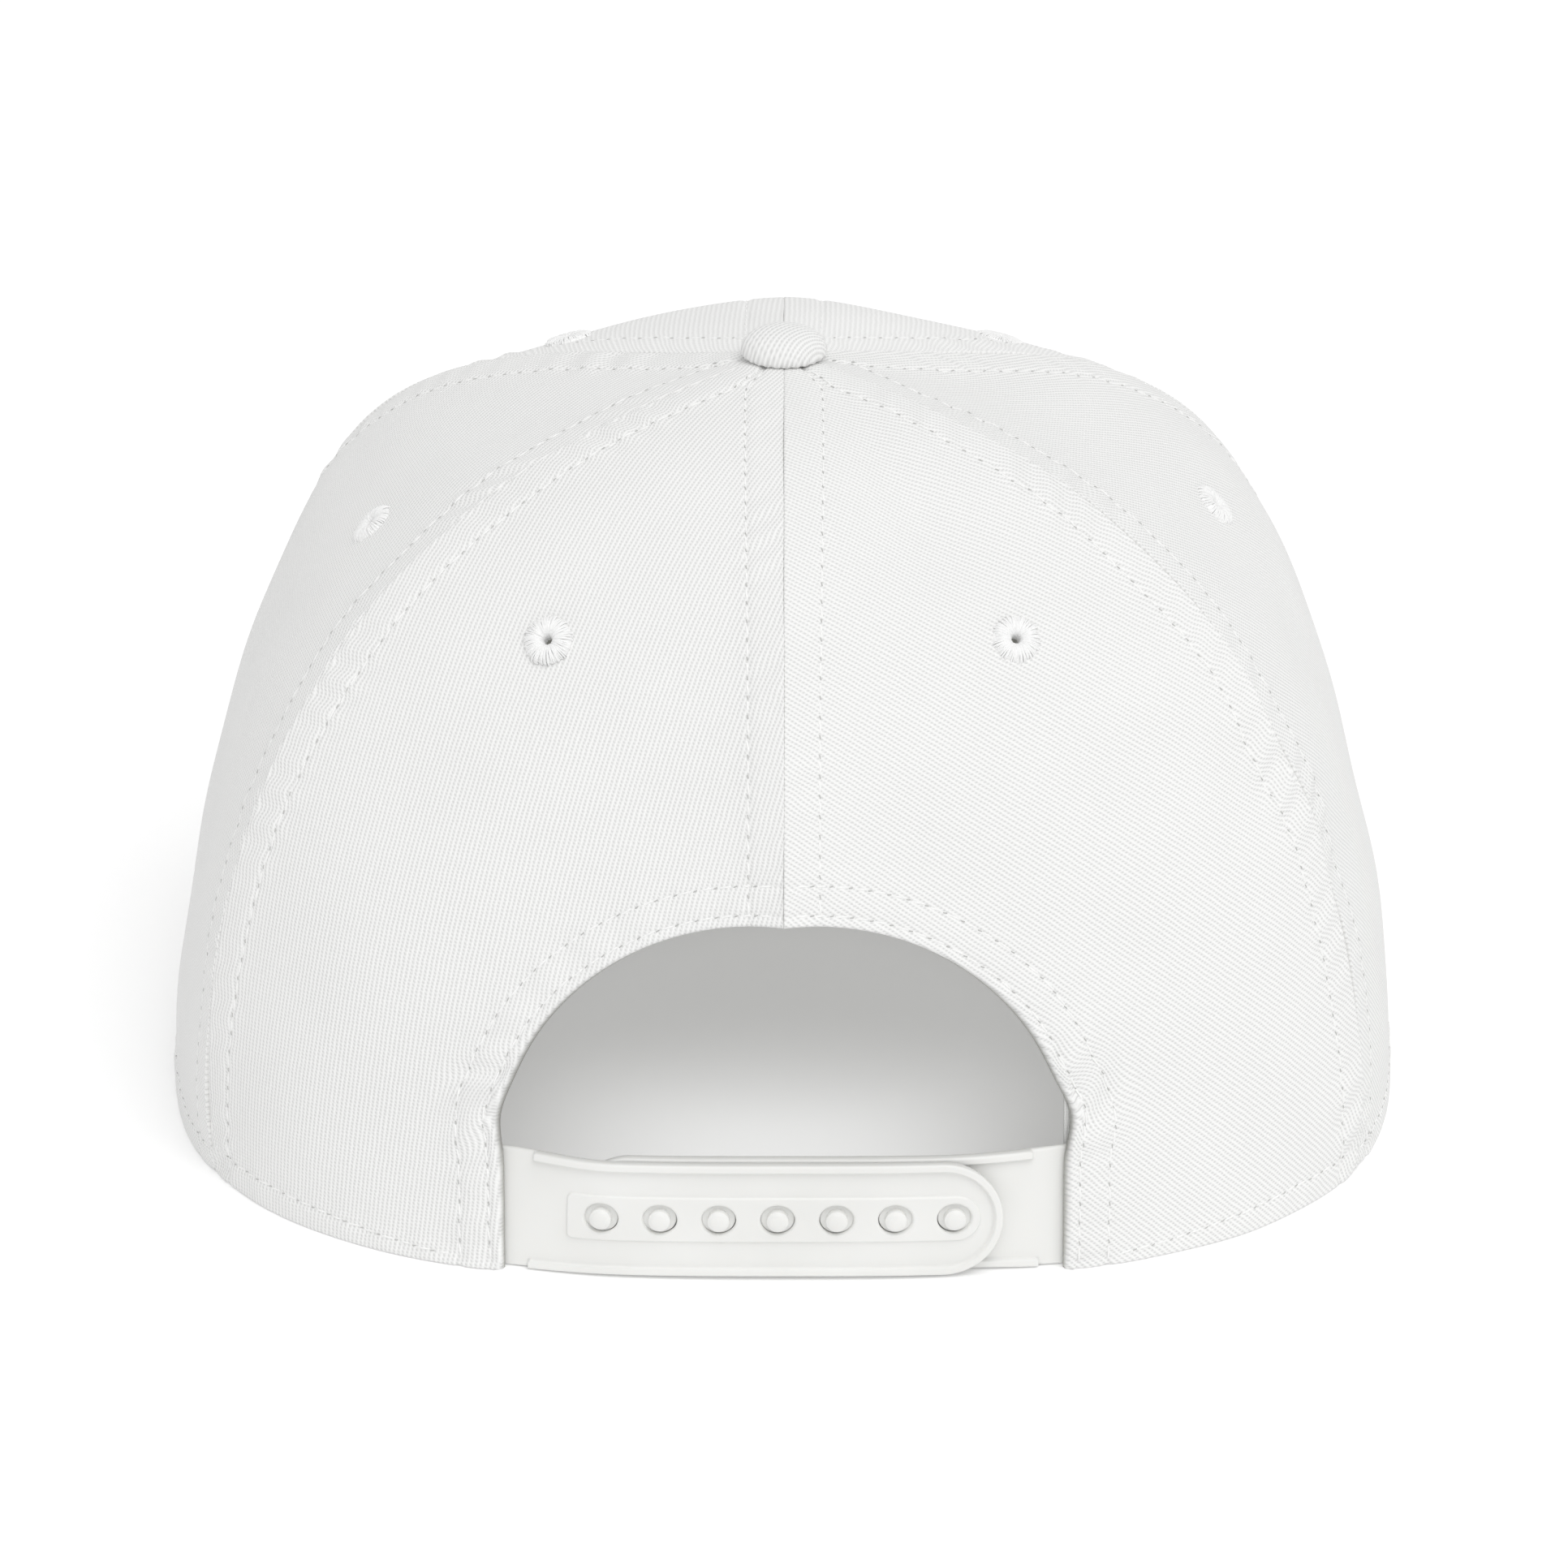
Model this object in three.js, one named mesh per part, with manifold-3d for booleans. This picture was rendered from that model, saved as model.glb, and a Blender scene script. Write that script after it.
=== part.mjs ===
// Snapback cap, in millimetres. +Z up, +Y the back, +X the wearer's left.
// Angles are in degrees round the crown from the centre back, positive to the wearer's left.

import * as THREE from 'three';
import { mergeVertices } from 'three/addons/utils/BufferGeometryUtils.js';
import Module from 'manifold-3d';

const wasm = await Module();
wasm.setup();

// Crown: six panels that meet under the button
const crownHeight = 118.2;
const crownHalfWidth = 100.3;
const crownBackReach = 90.5;
const crownFrontReach = 82.5;
const crownSquareness = 2.67; // exponent of the rim's curve, 2 for an ellipse
const panelFlatness = 0.62; // 0 for a round crown, 1 for straight sides between seams
const panelWall = 1.6;
const frontPanelWall = 2.0; // the front panels are backed with buckram
const seamGap = 0.3;
const tipHoleRadius = 3.2; // where the points of the panels meet round the button's shank
const panelColumns = 12;
const panelRows = 13;

// The crown's line up each seam, as shares: how far the wall leans in at the rim, how high it
// turns over, how wide the top spreads and how far it swells above the button
const crownLines = [
  { seam: 'centre back', lean: 0.045, rise: 0.594, spread: 0.637, swell: -0.002 },
  { seam: 'back and side', lean: -0.05, rise: 0.697, spread: 0.572, swell: -0.023 },
  { seam: 'side and front', lean: 0.024, rise: 0.82, spread: 0.808, swell: -0.078 },
  { seam: 'centre front', lean: 0.101, rise: 0.792, spread: 0.718, swell: 0.072 },
];
const seamStep = 180 / (crownLines.length - 1);

// Soft dents in the cloth: place and reach in degrees and as shares of the line from rim to
// top, depth as a share of the crown's height
const dents = [
  { place: 'crease under the top, right', angle: -30, share: 0.72, wide: 9, high: 0.13, depth: 0.014 },
  { place: 'swell beside it', angle: -13, share: 0.66, wide: 7, high: 0.12, depth: -0.005 },
  { place: 'pucker at the right seam', angle: -57, share: 0.36, wide: 8, high: 0.06, depth: 0.014 },
  { place: 'pucker below it', angle: -62, share: 0.24, wide: 7, high: 0.05, depth: 0.012 },
  { place: 'pinch at the right hem', angle: -34, share: 0.13, wide: 5, high: 0.06, depth: 0.008 },
  { place: 'hollow in the left side', angle: 47, share: 0.42, wide: 11, high: 0.12, depth: 0.009 },
  { place: 'hollow in the left front', angle: 138, share: 0.45, wide: 12, high: 0.14, depth: 0.008 },
];

// Opening at the back, over the strap
const archHalfWidth = 44;
const archSpring = 20; // height where its sides turn into the arch
const archHeight = 55.6;
const archSegments = 20;

// Covered button
const buttonRadius = 7;
const buttonEdge = 0.9; // upright edge below the dome
const buttonDome = 2.9;
const buttonClearance = 0.3;
const shankRadius = 2.4;
const shankLength = 5;
const buttonSides = 20;
const buttonRings = 6;
const buttonTip = 0.5; // share of the slope of the cloth under it that it takes up

// Embroidered eyelets
const eyeletRadius = 3.8;
const eyeletHole = 1.0;
const eyeletNeck = 1.8;
const eyeletRaise = 0.7;
const eyeletEdge = 0.8; // share of its raise at the outer edge
const eyeletClearance = 0.3; // round the neck and under the flange
const eyeletSides = 12;
const eyelets = [
  { name: 'eyelet_back_left', angle: 35.5, share: 0.535 },
  { name: 'eyelet_back_right', angle: -35, share: 0.537 },
  { name: 'eyelet_side_left', angle: 81, share: 0.545 },
  { name: 'eyelet_side_right', angle: -92.5, share: 0.522 },
  { name: 'eyelet_front_left', angle: 132, share: 0.742 },
  { name: 'eyelet_front_right', angle: -132, share: 0.742 },
];

// Peak
const peakReach = 70; // beyond the rim at the centre front
const peakThickness = 3.2;
const peakCamber = 6; // how far the middle stands above the side corners
const peakRootAngle = 64; // from the centre front to each corner
const peakSquareness = 2.5;
const peakClearance = 0.3; // under the crown's edge
const peakEase = 12; // degrees in which the crown's edge comes down beside the peak
const peakColumns = 36;
const peakRows = 6;

// Sweatband
const bandHeight = 32;
const bandThickness = 1.2;
const bandBase = 0.5; // above the rim's lower edge
const bandClearance = 0.5;
const bandShow = 0.7; // how far its ends show past the opening's sides
const bandRows = 3;
const bandPast = 2; // degrees past the sewn ends of the straps before it moves out
const bandEase = 14; // degrees in which it moves out to the panels

// Snap straps: a plate with a raised rim round it and a low pad under the snaps
const strapHeight = 18.8;
const strapPlate = 1.1;
const strapBase = 1.1; // above the rim's lower edge
const strapRimRise = 0.7;
const strapRimWidth = 1.2;
const strapStep = 0.25; // width of the slope beside a raised part
const strapClearance = 0.45;
const strapTuck = 12; // sewn in behind the panel
const strapReach = 34.3; // from the centre line to the far end
const strapRimStart = 3.4; // from the panel's edge
const strapLean = 0.03; // inward, for each unit of height
const holeStrapLift = 0.7; // outward, over the peg strap
const padStart = 34.3;
const padEnd = 30.8;
const padHeight = 7.4;
const padRise = 0.25;
const strapBend = 6; // beyond the pad's start, where the strap's even columns begin
const strapColumns = 8;
const strapTurns = 6; // facets in each half of the round end

// Snaps
const snapCount = 7;
const snapPitch = 9.25;
const snapCentre = 1.0; // beside the centre line
const holeWidth = 5.4;
const holeHeight = 4.9;
const pegRadius = 1.65;
const pegProud = 0.4; // beyond the hole strap's pad
const pegDome = 0.5;
const pegShoulder = 0.7; // share of its radius at which the dome turns down
const snapSides = 12;

const degree = Math.PI / 180;
const across = 1000; // longer than the cap, for cutters
const frontAngle = 180;
const holeCut = 12; // length of the cutters for small holes
const halvings = 40; // of the range in which a share is sought
const angleRounds = 8; // of the search for an angle beside the centre

const soft = (color, roughness) => new THREE.MeshStandardMaterial({ color, roughness, metalness: 0 });
const twill = () => soft(0xf0efec, 0.9);
const thread = () => soft(0xf3f2ef, 0.8);
const tape = () => soft(0xe9e8e4, 0.9);
const plastic = () => soft(0xeeeeec, 0.4);

const clamp = (value) => Math.min(1, Math.max(0, value));
const smooth = (value) => clamp(value) ** 2 * (3 - 2 * clamp(value));
const mix = (from, to, share) => from + (to - from) * share;

// Value of a column of crownLines at any angle: an even cosine series through the seams
function alongSeams(column, angle) {
  const last = crownLines.length - 1;
  const ends = (index) => (index === 0 || index === last ? 0.5 : 1);
  let sum = 0;
  for (let wave = 0; wave <= last; wave += 1) {
    const weight = crownLines.reduce(
      (total, line, index) => total + ends(index) * line[column] * Math.cos(Math.PI * wave * index / last),
      0,
    );
    sum += (2 / last) * ends(wave) * weight * Math.cos(wave * angle * degree);
  }
  return sum;
}

// Distance of the rim from the crown's axis
function rimRadius(angle) {
  const back = Math.cos(angle * degree);
  const side = Math.sin(angle * degree);
  const reach = back >= 0 ? crownBackReach : crownFrontReach;
  const sum = Math.abs(back / reach) ** crownSquareness + Math.abs(side / crownHalfWidth) ** crownSquareness;
  return sum ** (-1 / crownSquareness);
}

// Straight run between two seams, as a share of the round one
function chord(angle) {
  const turn = Math.abs(angle) % seamStep;
  return Math.cos(seamStep / 2 * degree) / Math.cos((turn - seamStep / 2) * degree);
}

// Distance from the axis and height on the crown, without its dents
function crownLine(angle, share) {
  const rest = 1 - share;
  const low = 3 * rest ** 2 * share;
  const high = 3 * rest * share ** 2;
  const out = rest ** 3 + low * (1 - alongSeams('lean', angle)) + high * alongSeams('spread', angle);
  const up = low * alongSeams('rise', angle) + high * (1 + alongSeams('swell', angle)) + share ** 3;
  const flat = 1 - panelFlatness * Math.sin(Math.PI * share) * (1 - chord(angle));
  return new THREE.Vector2(out * flat * rimRadius(angle), up * crownHeight);
}

// Direction out of the crown in the upright plane through its axis
function crownOut(angle, share) {
  const step = 0.002;
  const rise = crownLine(angle, Math.min(1, share + step)).sub(crownLine(angle, Math.max(0, share - step)));
  return new THREE.Vector2(rise.y, -rise.x).normalize();
}

function dentDepth(angle, share) {
  const around = ((angle + 540) % 360) - 180;
  return dents.reduce((total, dent) => {
    const wide = (around - dent.angle) / dent.wide;
    const high = (share - dent.share) / dent.high;
    return total + dent.depth * crownHeight * Math.exp(-(wide ** 2) - high ** 2);
  }, 0);
}

function place(angle, radius, height) {
  return new THREE.Vector3(radius * Math.sin(angle * degree), radius * Math.cos(angle * degree), height);
}

// A point of the crown, inset through the cloth; level keeps it at its height
function crownPoint(angle, share, inset, level = false) {
  const line = crownLine(angle, share);
  const out = crownOut(angle, share);
  const sunk = inset + dentDepth(angle, share);
  if (level) {
    return place(angle, line.x - sunk / out.x, line.y);
  }
  return place(angle, line.x - sunk * out.x, line.y - sunk * out.y);
}

// Share at which a rising measure of the crown's line reaches a value
function shareWhere(measure, value) {
  let low = 0;
  let high = 1;
  for (let step = 0; step < halvings; step += 1) {
    const middle = (low + high) / 2;
    if (measure(middle) < value) {
      low = middle;
    } else {
      high = middle;
    }
  }
  return (low + high) / 2;
}

const shareAtHeight = (angle, height) => shareWhere((share) => crownLine(angle, share).y, height);
const shareAtRadius = (angle, radius) => shareWhere((share) => -crownLine(angle, share).x, -radius);

// A closed wall between two grids of points: columns run to the right and rows up, as seen
// from the front grid's side
function wall(front, back) {
  const columns = front.length;
  const rows = front[0].length;
  const positions = [front, back].flat(2).flatMap((point) => [point.x, point.y, point.z]);
  const faces = [];
  const at = (side, column, row) => side * columns * rows + column * rows + row;
  const quad = (a, b, c, d) => faces.push(a, b, c, a, c, d);
  for (let i = 0; i < columns - 1; i += 1) {
    for (let j = 0; j < rows - 1; j += 1) {
      quad(at(0, i, j), at(0, i + 1, j), at(0, i + 1, j + 1), at(0, i, j + 1));
      quad(at(1, i, j), at(1, i, j + 1), at(1, i + 1, j + 1), at(1, i + 1, j));
    }
    quad(at(1, i, 0), at(1, i + 1, 0), at(0, i + 1, 0), at(0, i, 0));
    quad(at(0, i, rows - 1), at(0, i + 1, rows - 1), at(1, i + 1, rows - 1), at(1, i, rows - 1));
  }
  const end = columns - 1;
  for (let j = 0; j < rows - 1; j += 1) {
    quad(at(1, 0, j), at(0, 0, j), at(0, 0, j + 1), at(1, 0, j + 1));
    quad(at(0, end, j), at(1, end, j), at(1, end, j + 1), at(0, end, j + 1));
  }
  const geometry = new THREE.BufferGeometry();
  geometry.setAttribute('position', new THREE.Float32BufferAttribute(positions, 3));
  geometry.setIndex(faces);
  return geometry;
}

function steps(count, from, to) {
  return Array.from({ length: count + 1 }, (_, index) => mix(from, to, index / count));
}

// Solids for cutting and joining
function toSolid(geometry) {
  const plain = geometry.clone();
  plain.deleteAttribute('normal');
  plain.deleteAttribute('uv');
  const merged = mergeVertices(plain, 1e-4);
  const corners = merged.index.array;
  const faces = [];
  for (let i = 0; i < corners.length; i += 3) {
    const [a, b, c] = corners.slice(i, i + 3);
    if (a !== b && b !== c && c !== a) {
      faces.push(a, b, c);
    }
  }
  return new wasm.Manifold(new wasm.Mesh({
    numProp: 3,
    vertProperties: new Float32Array(merged.attributes.position.array),
    triVerts: new Uint32Array(faces),
  }));
}

function toGeometry(solid) {
  const mesh = solid.getMesh();
  const geometry = new THREE.BufferGeometry();
  geometry.setAttribute('position', new THREE.BufferAttribute(mesh.vertProperties, 3));
  geometry.setIndex(new THREE.BufferAttribute(mesh.triVerts, 1));
  return geometry;
}

// Turns a shape whose axis is +Y so that the axis points along a direction, and moves it there
function stand(geometry, direction, point) {
  const turn = new THREE.Quaternion().setFromUnitVectors(new THREE.Vector3(0, 1, 0), direction);
  return geometry.applyQuaternion(turn).translate(point.x, point.y, point.z);
}

const cap = new THREE.Group();

function add(name, geometry, material) {
  const mesh = new THREE.Mesh(geometry, material);
  mesh.name = name;
  cap.add(mesh);
}

// Peak: a board whose root follows the rim and whose outline is a rounded front
const cornerAngle = frontAngle - peakRootAngle;
const corner = place(cornerAngle, rimRadius(cornerAngle), 0);

function peakUnder(x) {
  return peakCamber * (1 - (x / corner.x) ** 2);
}

function peakTop(x) {
  return peakUnder(x) + peakThickness;
}

function peakEdge(share) {
  const turn = (share - 0.5) * Math.PI;
  const side = -Math.sign(turn) * Math.abs(Math.sin(turn)) ** (2 / peakSquareness);
  const ahead = Math.cos(turn) ** (2 / peakSquareness);
  const reach = crownFrontReach + peakReach + corner.y;
  return new THREE.Vector2(corner.x * side, corner.y - reach * ahead);
}

function makePeak() {
  const columns = steps(peakColumns, 0, 1).map((share) => {
    const angle = mix(cornerAngle, 360 - cornerAngle, share);
    const root = place(angle, rimRadius(angle) - frontPanelWall, 0);
    const edge = peakEdge(share);
    return steps(peakRows, 0, 1).map((out) => [mix(root.x, edge.x, out), mix(root.y, edge.y, out)]);
  });
  const lift = (surface) => columns.map((line) => line.map(([x, y]) => new THREE.Vector3(x, y, surface(x))));
  return wall(lift(peakTop), lift((x) => Math.max(0, peakUnder(x))));
}

// Height of the crown's lower edge: on the floor, or over the peak
function edgeHeight(angle) {
  const fromFront = frontAngle - Math.abs(angle);
  const inner = (rimRadius(angle) - frontPanelWall) * Math.sin(angle * degree);
  if (fromFront <= peakRootAngle) {
    return peakTop(inner) + peakClearance;
  }
  const cornerTop = peakTop((rimRadius(cornerAngle) - frontPanelWall) * Math.sin(cornerAngle * degree));
  return (cornerTop + peakClearance) * (1 - smooth((fromFront - peakRootAngle) / peakEase));
}

// One panel between two seams, from its lower edge to the hole under the button
function panelWallOf(fromAngle, toAngle, thickness) {
  const middle = (fromAngle + toAngle) / 2;
  const grid = (inset) => steps(panelColumns, fromAngle, toAngle).map((angle, column) => {
    const low = shareAtHeight(angle, edgeHeight(angle));
    const top = shareAtRadius(angle, tipHoleRadius);
    return steps(panelRows, low, top).map((share, row) => {
      const seam = column === 0 || column === panelColumns;
      const narrow = seamGap / 2 / crownLine(angle, share).x / degree;
      const inside = seam ? angle + narrow * Math.sign(middle - angle) : angle;
      if (row === panelRows) {
        const rim = crownPoint(inside, share, 0);
        return rim.setZ(rim.z - inset / crownOut(inside, share).y);
      }
      return crownPoint(inside, share, inset, row === 0);
    });
  });
  return wall(grid(0), grid(thickness));
}

// Cutter with the outline of the back opening, running out through the back
function makeArchCutter() {
  const outline = new THREE.Shape();
  outline.moveTo(-archHalfWidth, -crownHeight);
  outline.lineTo(archHalfWidth, -crownHeight);
  outline.lineTo(archHalfWidth, archSpring);
  outline.absellipse(0, archSpring, archHalfWidth, archHeight - archSpring, 0, Math.PI);
  const cutter = new THREE.ExtrudeGeometry(outline, { depth: across, curveSegments: archSegments, bevelEnabled: false });
  return toSolid(cutter.rotateX(Math.PI / 2).translate(0, across, 0));
}

// Direction square to the crown's surface
function crownNormal(angle, share) {
  const turn = 0.5;
  const step = 0.004;
  const along = crownPoint(angle - turn, share, 0).sub(crownPoint(angle + turn, share, 0));
  const up = crownPoint(angle, share + step, 0).sub(crownPoint(angle, share - step, 0));
  return along.cross(up).normalize();
}

function makeEyeletCutter({ angle, share }) {
  const radius = eyeletNeck + eyeletClearance;
  const cutter = new THREE.CylinderGeometry(radius, radius, holeCut, eyeletSides);
  return toSolid(stand(cutter, crownNormal(angle, share), crownPoint(angle, share, 0)));
}

// A ring of thread: a flange on the outside and a neck through the cloth
function makeEyelet({ angle, share }) {
  const thickness = Math.abs(angle) > 2 * seamStep ? frontPanelWall : panelWall;
  const profile = [
    [eyeletHole, -thickness],
    [eyeletNeck, -thickness],
    [eyeletNeck, eyeletClearance],
    [eyeletRadius, eyeletClearance],
    [eyeletRadius - eyeletRaise / 2, eyeletClearance + eyeletRaise * eyeletEdge],
    [eyeletNeck, eyeletClearance + eyeletRaise],
    [eyeletHole, eyeletClearance],
    [eyeletHole, -thickness],
  ].map(([x, y]) => new THREE.Vector2(x, y));
  const ring = new THREE.LatheGeometry(profile, eyeletSides);
  return toGeometry(toSolid(stand(ring, crownNormal(angle, share), crownPoint(angle, share, 0))));
}

// Button: it sits over the highest cloth within its edge, tipped to follow the front's rise
function makeButton() {
  const edgeRise = (angle) => crownPoint(angle, shareAtRadius(angle, buttonRadius), 0).z - crownHeight;
  const tip = buttonTip * (edgeRise(frontAngle) - edgeRise(0)) / (2 * buttonRadius);
  const stops = steps(buttonSides, 0, 360);
  const over = Math.max(0, ...stops.map((angle) => edgeRise(angle) + tip * buttonRadius * Math.cos(angle * degree)));
  const arc = steps(buttonRings, 0, 1).map((share) => {
    const turn = share * Math.PI / 2;
    return [buttonRadius * Math.cos(turn), buttonEdge + buttonDome * Math.sin(turn)];
  });
  const profile = [[0, -shankLength], [shankRadius, -shankLength], [shankRadius, 0], [buttonRadius, 0]];
  const points = [...profile, ...arc.slice(0, -1), [0, buttonEdge + buttonDome]];
  const button = new THREE.LatheGeometry(points.map(([x, y]) => new THREE.Vector2(x, y)), buttonSides);
  const base = new THREE.Vector3(0, 0, crownHeight + over + buttonClearance);
  const axis = new THREE.Vector3(0, tip, 1).normalize();
  return toGeometry(toSolid(stand(button, axis, base)));
}

// Sweatband: inside the rim, past the sewn ends of the straps, open at the back
const strapInset = panelWall + strapClearance;

function rimAngle(x) {
  const back = crownBackReach * (1 - Math.abs(x / crownHalfWidth) ** crownSquareness) ** (1 / crownSquareness);
  return Math.atan2(x, back) / degree;
}

// Angle at which a line round the crown, at a height and inset, lies x beside the centre
function angleBeside(x, height, inset) {
  let angle = rimAngle(x);
  for (let round = 0; round < angleRounds; round += 1) {
    const point = crownPoint(angle, shareAtHeight(angle, height), inset, true);
    angle = Math.asin(x / Math.hypot(point.x, point.y)) / degree;
  }
  return angle;
}

function makeSweatband() {
  const show = archHalfWidth - bandShow;
  const start = rimAngle(show);
  const tuckEnd = rimAngle(archHalfWidth + strapTuck) + bandPast;
  const step = seamStep / panelColumns;
  const between = [];
  for (let angle = Math.ceil(start / step + 1) * step; angle < 360 - start - step; angle += step) {
    between.push(angle);
  }
  const angles = [360 - start, ...between.reverse(), start];
  const grid = (extra) => angles.map((angle, column) => {
    const fromBack = Math.min(angle, 360 - angle);
    const panel = fromBack > 2 * seamStep ? frontPanelWall : panelWall;
    const overStrap = strapInset + strapPlate + strapClearance;
    const inset = mix(overStrap, panel + bandClearance, smooth((fromBack - tuckEnd) / bandEase));
    return steps(bandRows, bandBase, bandBase + bandHeight).map((height) => {
      const end = column === 0 || column === angles.length - 1;
      const beside = end ? angleBeside(show, height, inset + extra) : fromBack;
      const around = angle > 180 ? 360 - beside : beside;
      return crownPoint(around, shareAtHeight(around, height), inset + extra, true);
    });
  });
  return wall(grid(0), grid(bandThickness));
}

// Straps. A place on one is x along the back and a height; side is 1 for the strap that is
// sewn in on the wearer's left and -1 for the other
const strapCentre = strapBase + strapHeight / 2;
const strapRound = strapHeight / 2;

// How free of the panel the strap is: 0 where it is sewn in, 1 from where the other one ends
function strapFreedom(side, x) {
  return smooth((archHalfWidth - side * x) / (archHalfWidth - strapReach));
}

function strapLevel(side, x) {
  const underHoles = strapRimRise + strapClearance + strapPlate - holeStrapLift;
  const change = side > 0 ? -holeStrapLift : underHoles;
  return strapInset + change * strapFreedom(side, x);
}

function strapPoint(side, x, height, sunk) {
  const angle = rimAngle(x);
  const share = shareAtHeight(angle, height);
  const hug = 1 - strapFreedom(side, x);
  const sewn = crownLine(angle, share).x - dentDepth(angle, share);
  const free = rimRadius(angle) - height * strapLean;
  const radius = mix(free, sewn, hug) - strapLevel(side, x) - sunk;
  return place(angle, radius, height);
}

function strapNormal(side, x, height) {
  const along = strapPoint(side, x - 1, height, 0).sub(strapPoint(side, x + 1, height, 0));
  const up = strapPoint(side, x, height + 1, 0).sub(strapPoint(side, x, height - 1, 0));
  return along.cross(up).normalize();
}

// Stops along a strap from its sewn end: straight stretch, then the turn of its round end
function strapStops(padded) {
  const rimStart = archHalfWidth - strapRimStart;
  const roundStart = -strapReach + strapRound;
  const straight = [archHalfWidth + strapTuck, archHalfWidth + strapTuck / 2, archHalfWidth, rimStart + strapStep];
  const marks = padded ? [padStart + strapStep, padStart] : [padStart];
  const even = steps(strapColumns, padStart - strapBend, roundStart);
  const level = [...straight, rimStart, ...marks, ...even].map((x) => ({ x, turn: 0 }));
  const turned = steps(strapTurns, 0, 90).slice(1).map((turn) => ({ x: roundStart, turn }));
  return [...level, ...turned];
}

function makeStrap(side, padded) {
  const padInset = strapRound - padHeight / 2;
  const padTip = strapReach - padEnd;
  const rimEnd = archHalfWidth - strapRimStart;
  const lines = [
    { inset: 0, rim: 1, pad: 0 },
    { inset: strapRimWidth, rim: 1, pad: 0 },
    { inset: strapRimWidth + strapStep, rim: 0, pad: 0 },
    { inset: padInset - strapStep, tip: padTip - strapStep, rim: 0, pad: 0 },
    { inset: padInset, tip: padTip, rim: 0, pad: 1 },
    { inset: strapRound, rim: 0, pad: 1 },
  ];
  const grid = (front) => strapStops(padded).map(({ x, turn }) => {
    const half = (up) => lines.map(({ inset, tip = inset, rim, pad }) => {
      const from = strapRound - mix(inset, tip, turn / 90);
      const along = x - from * Math.sin(turn * degree);
      const height = strapCentre + up * from * Math.cos(turn * degree);
      const rimmed = x <= rimEnd ? rim * strapRimRise : 0;
      const raised = padded && x <= padStart ? pad * padRise : 0;
      const sunk = front ? -Math.max(rimmed, raised) : strapPlate;
      return strapPoint(side, side * along, height, sunk);
    });
    return [...half(-1), ...half(1).reverse().slice(1)];
  });
  const rightwards = side > 0 ? [grid(true), grid(false)] : [grid(true).reverse(), grid(false).reverse()];
  return wall(...rightwards);
}

const snapPlaces = steps(snapCount - 1, -(snapCount - 1) / 2, (snapCount - 1) / 2)
  .map((index) => snapCentre + index * snapPitch);

function makeHoleStrap() {
  return snapPlaces.reduce((strap, x) => {
    const hole = new THREE.CylinderGeometry(1, 1, holeCut, snapSides);
    hole.scale(holeWidth / 2, 1, holeHeight / 2);
    const middle = strapPoint(1, x, strapCentre, strapPlate / 2);
    return strap.subtract(toSolid(stand(hole, strapNormal(1, x, strapCentre), middle)));
  }, toSolid(makeStrap(1, true)));
}

function makePegStrap() {
  return snapPlaces.reduce((strap, x) => {
    const root = strapPoint(-1, x, strapCentre, strapPlate / 2);
    const normal = strapNormal(1, x, strapCentre);
    const head = strapPoint(1, x, strapCentre, -padRise - pegProud);
    const length = head.sub(root).dot(normal);
    const profile = [
      [0, 0],
      [pegRadius, 0],
      [pegRadius, length - pegDome],
      [pegRadius * pegShoulder, length - pegDome / 4],
      [0, length],
    ].map(([away, along]) => new THREE.Vector2(away, along));
    const peg = new THREE.LatheGeometry(profile, snapSides);
    return strap.add(toSolid(stand(peg, normal, root)));
  }, toSolid(makeStrap(-1, false)));
}

// Assembly
const archCutter = makeArchCutter();
const panelKinds = [
  { kind: 'back', thickness: panelWall },
  { kind: 'side', thickness: panelWall },
  { kind: 'front', thickness: frontPanelWall },
];

for (const [index, { kind, thickness }] of panelKinds.entries()) {
  const near = index * seamStep;
  const far = near + seamStep;
  for (const hand of ['left', 'right']) {
    const [from, to] = hand === 'left' ? [far, near] : [-near, -far];
    const whole = toSolid(panelWallOf(from, to, thickness));
    const open = kind === 'back' ? whole.subtract(archCutter) : whole;
    const own = eyelets.filter(({ name }) => name === `eyelet_${kind}_${hand}`);
    const pierced = own.reduce((panel, eyelet) => panel.subtract(makeEyeletCutter(eyelet)), open);
    add(`${kind}_panel_${hand}`, toGeometry(pierced), twill());
  }
}

for (const eyelet of eyelets) {
  add(eyelet.name, makeEyelet(eyelet), thread());
}

add('top_button', makeButton(), twill());
add('peak', makePeak(), twill());
add('sweatband', makeSweatband(), tape());
add('hole_strap', toGeometry(makeHoleStrap()), plastic());
add('peg_strap', toGeometry(makePegStrap()), plastic());

// The origin is on the floor under the middle of the cap's box
const box = new THREE.Box3().setFromObject(cap);
cap.position.y = -(box.min.y + box.max.y) / 2;
cap.updateMatrixWorld(true);

export default cap;
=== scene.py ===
# Snapback cap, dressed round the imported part. Lengths in the dictionaries are millimetres and
# angles are degrees round the crown from the centre back, positive to the wearer's left.
import math

import bmesh
import bpy
import numpy as np
from mathutils import Matrix, Vector, kdtree
from mathutils.geometry import delaunay_2d_cdt


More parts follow.
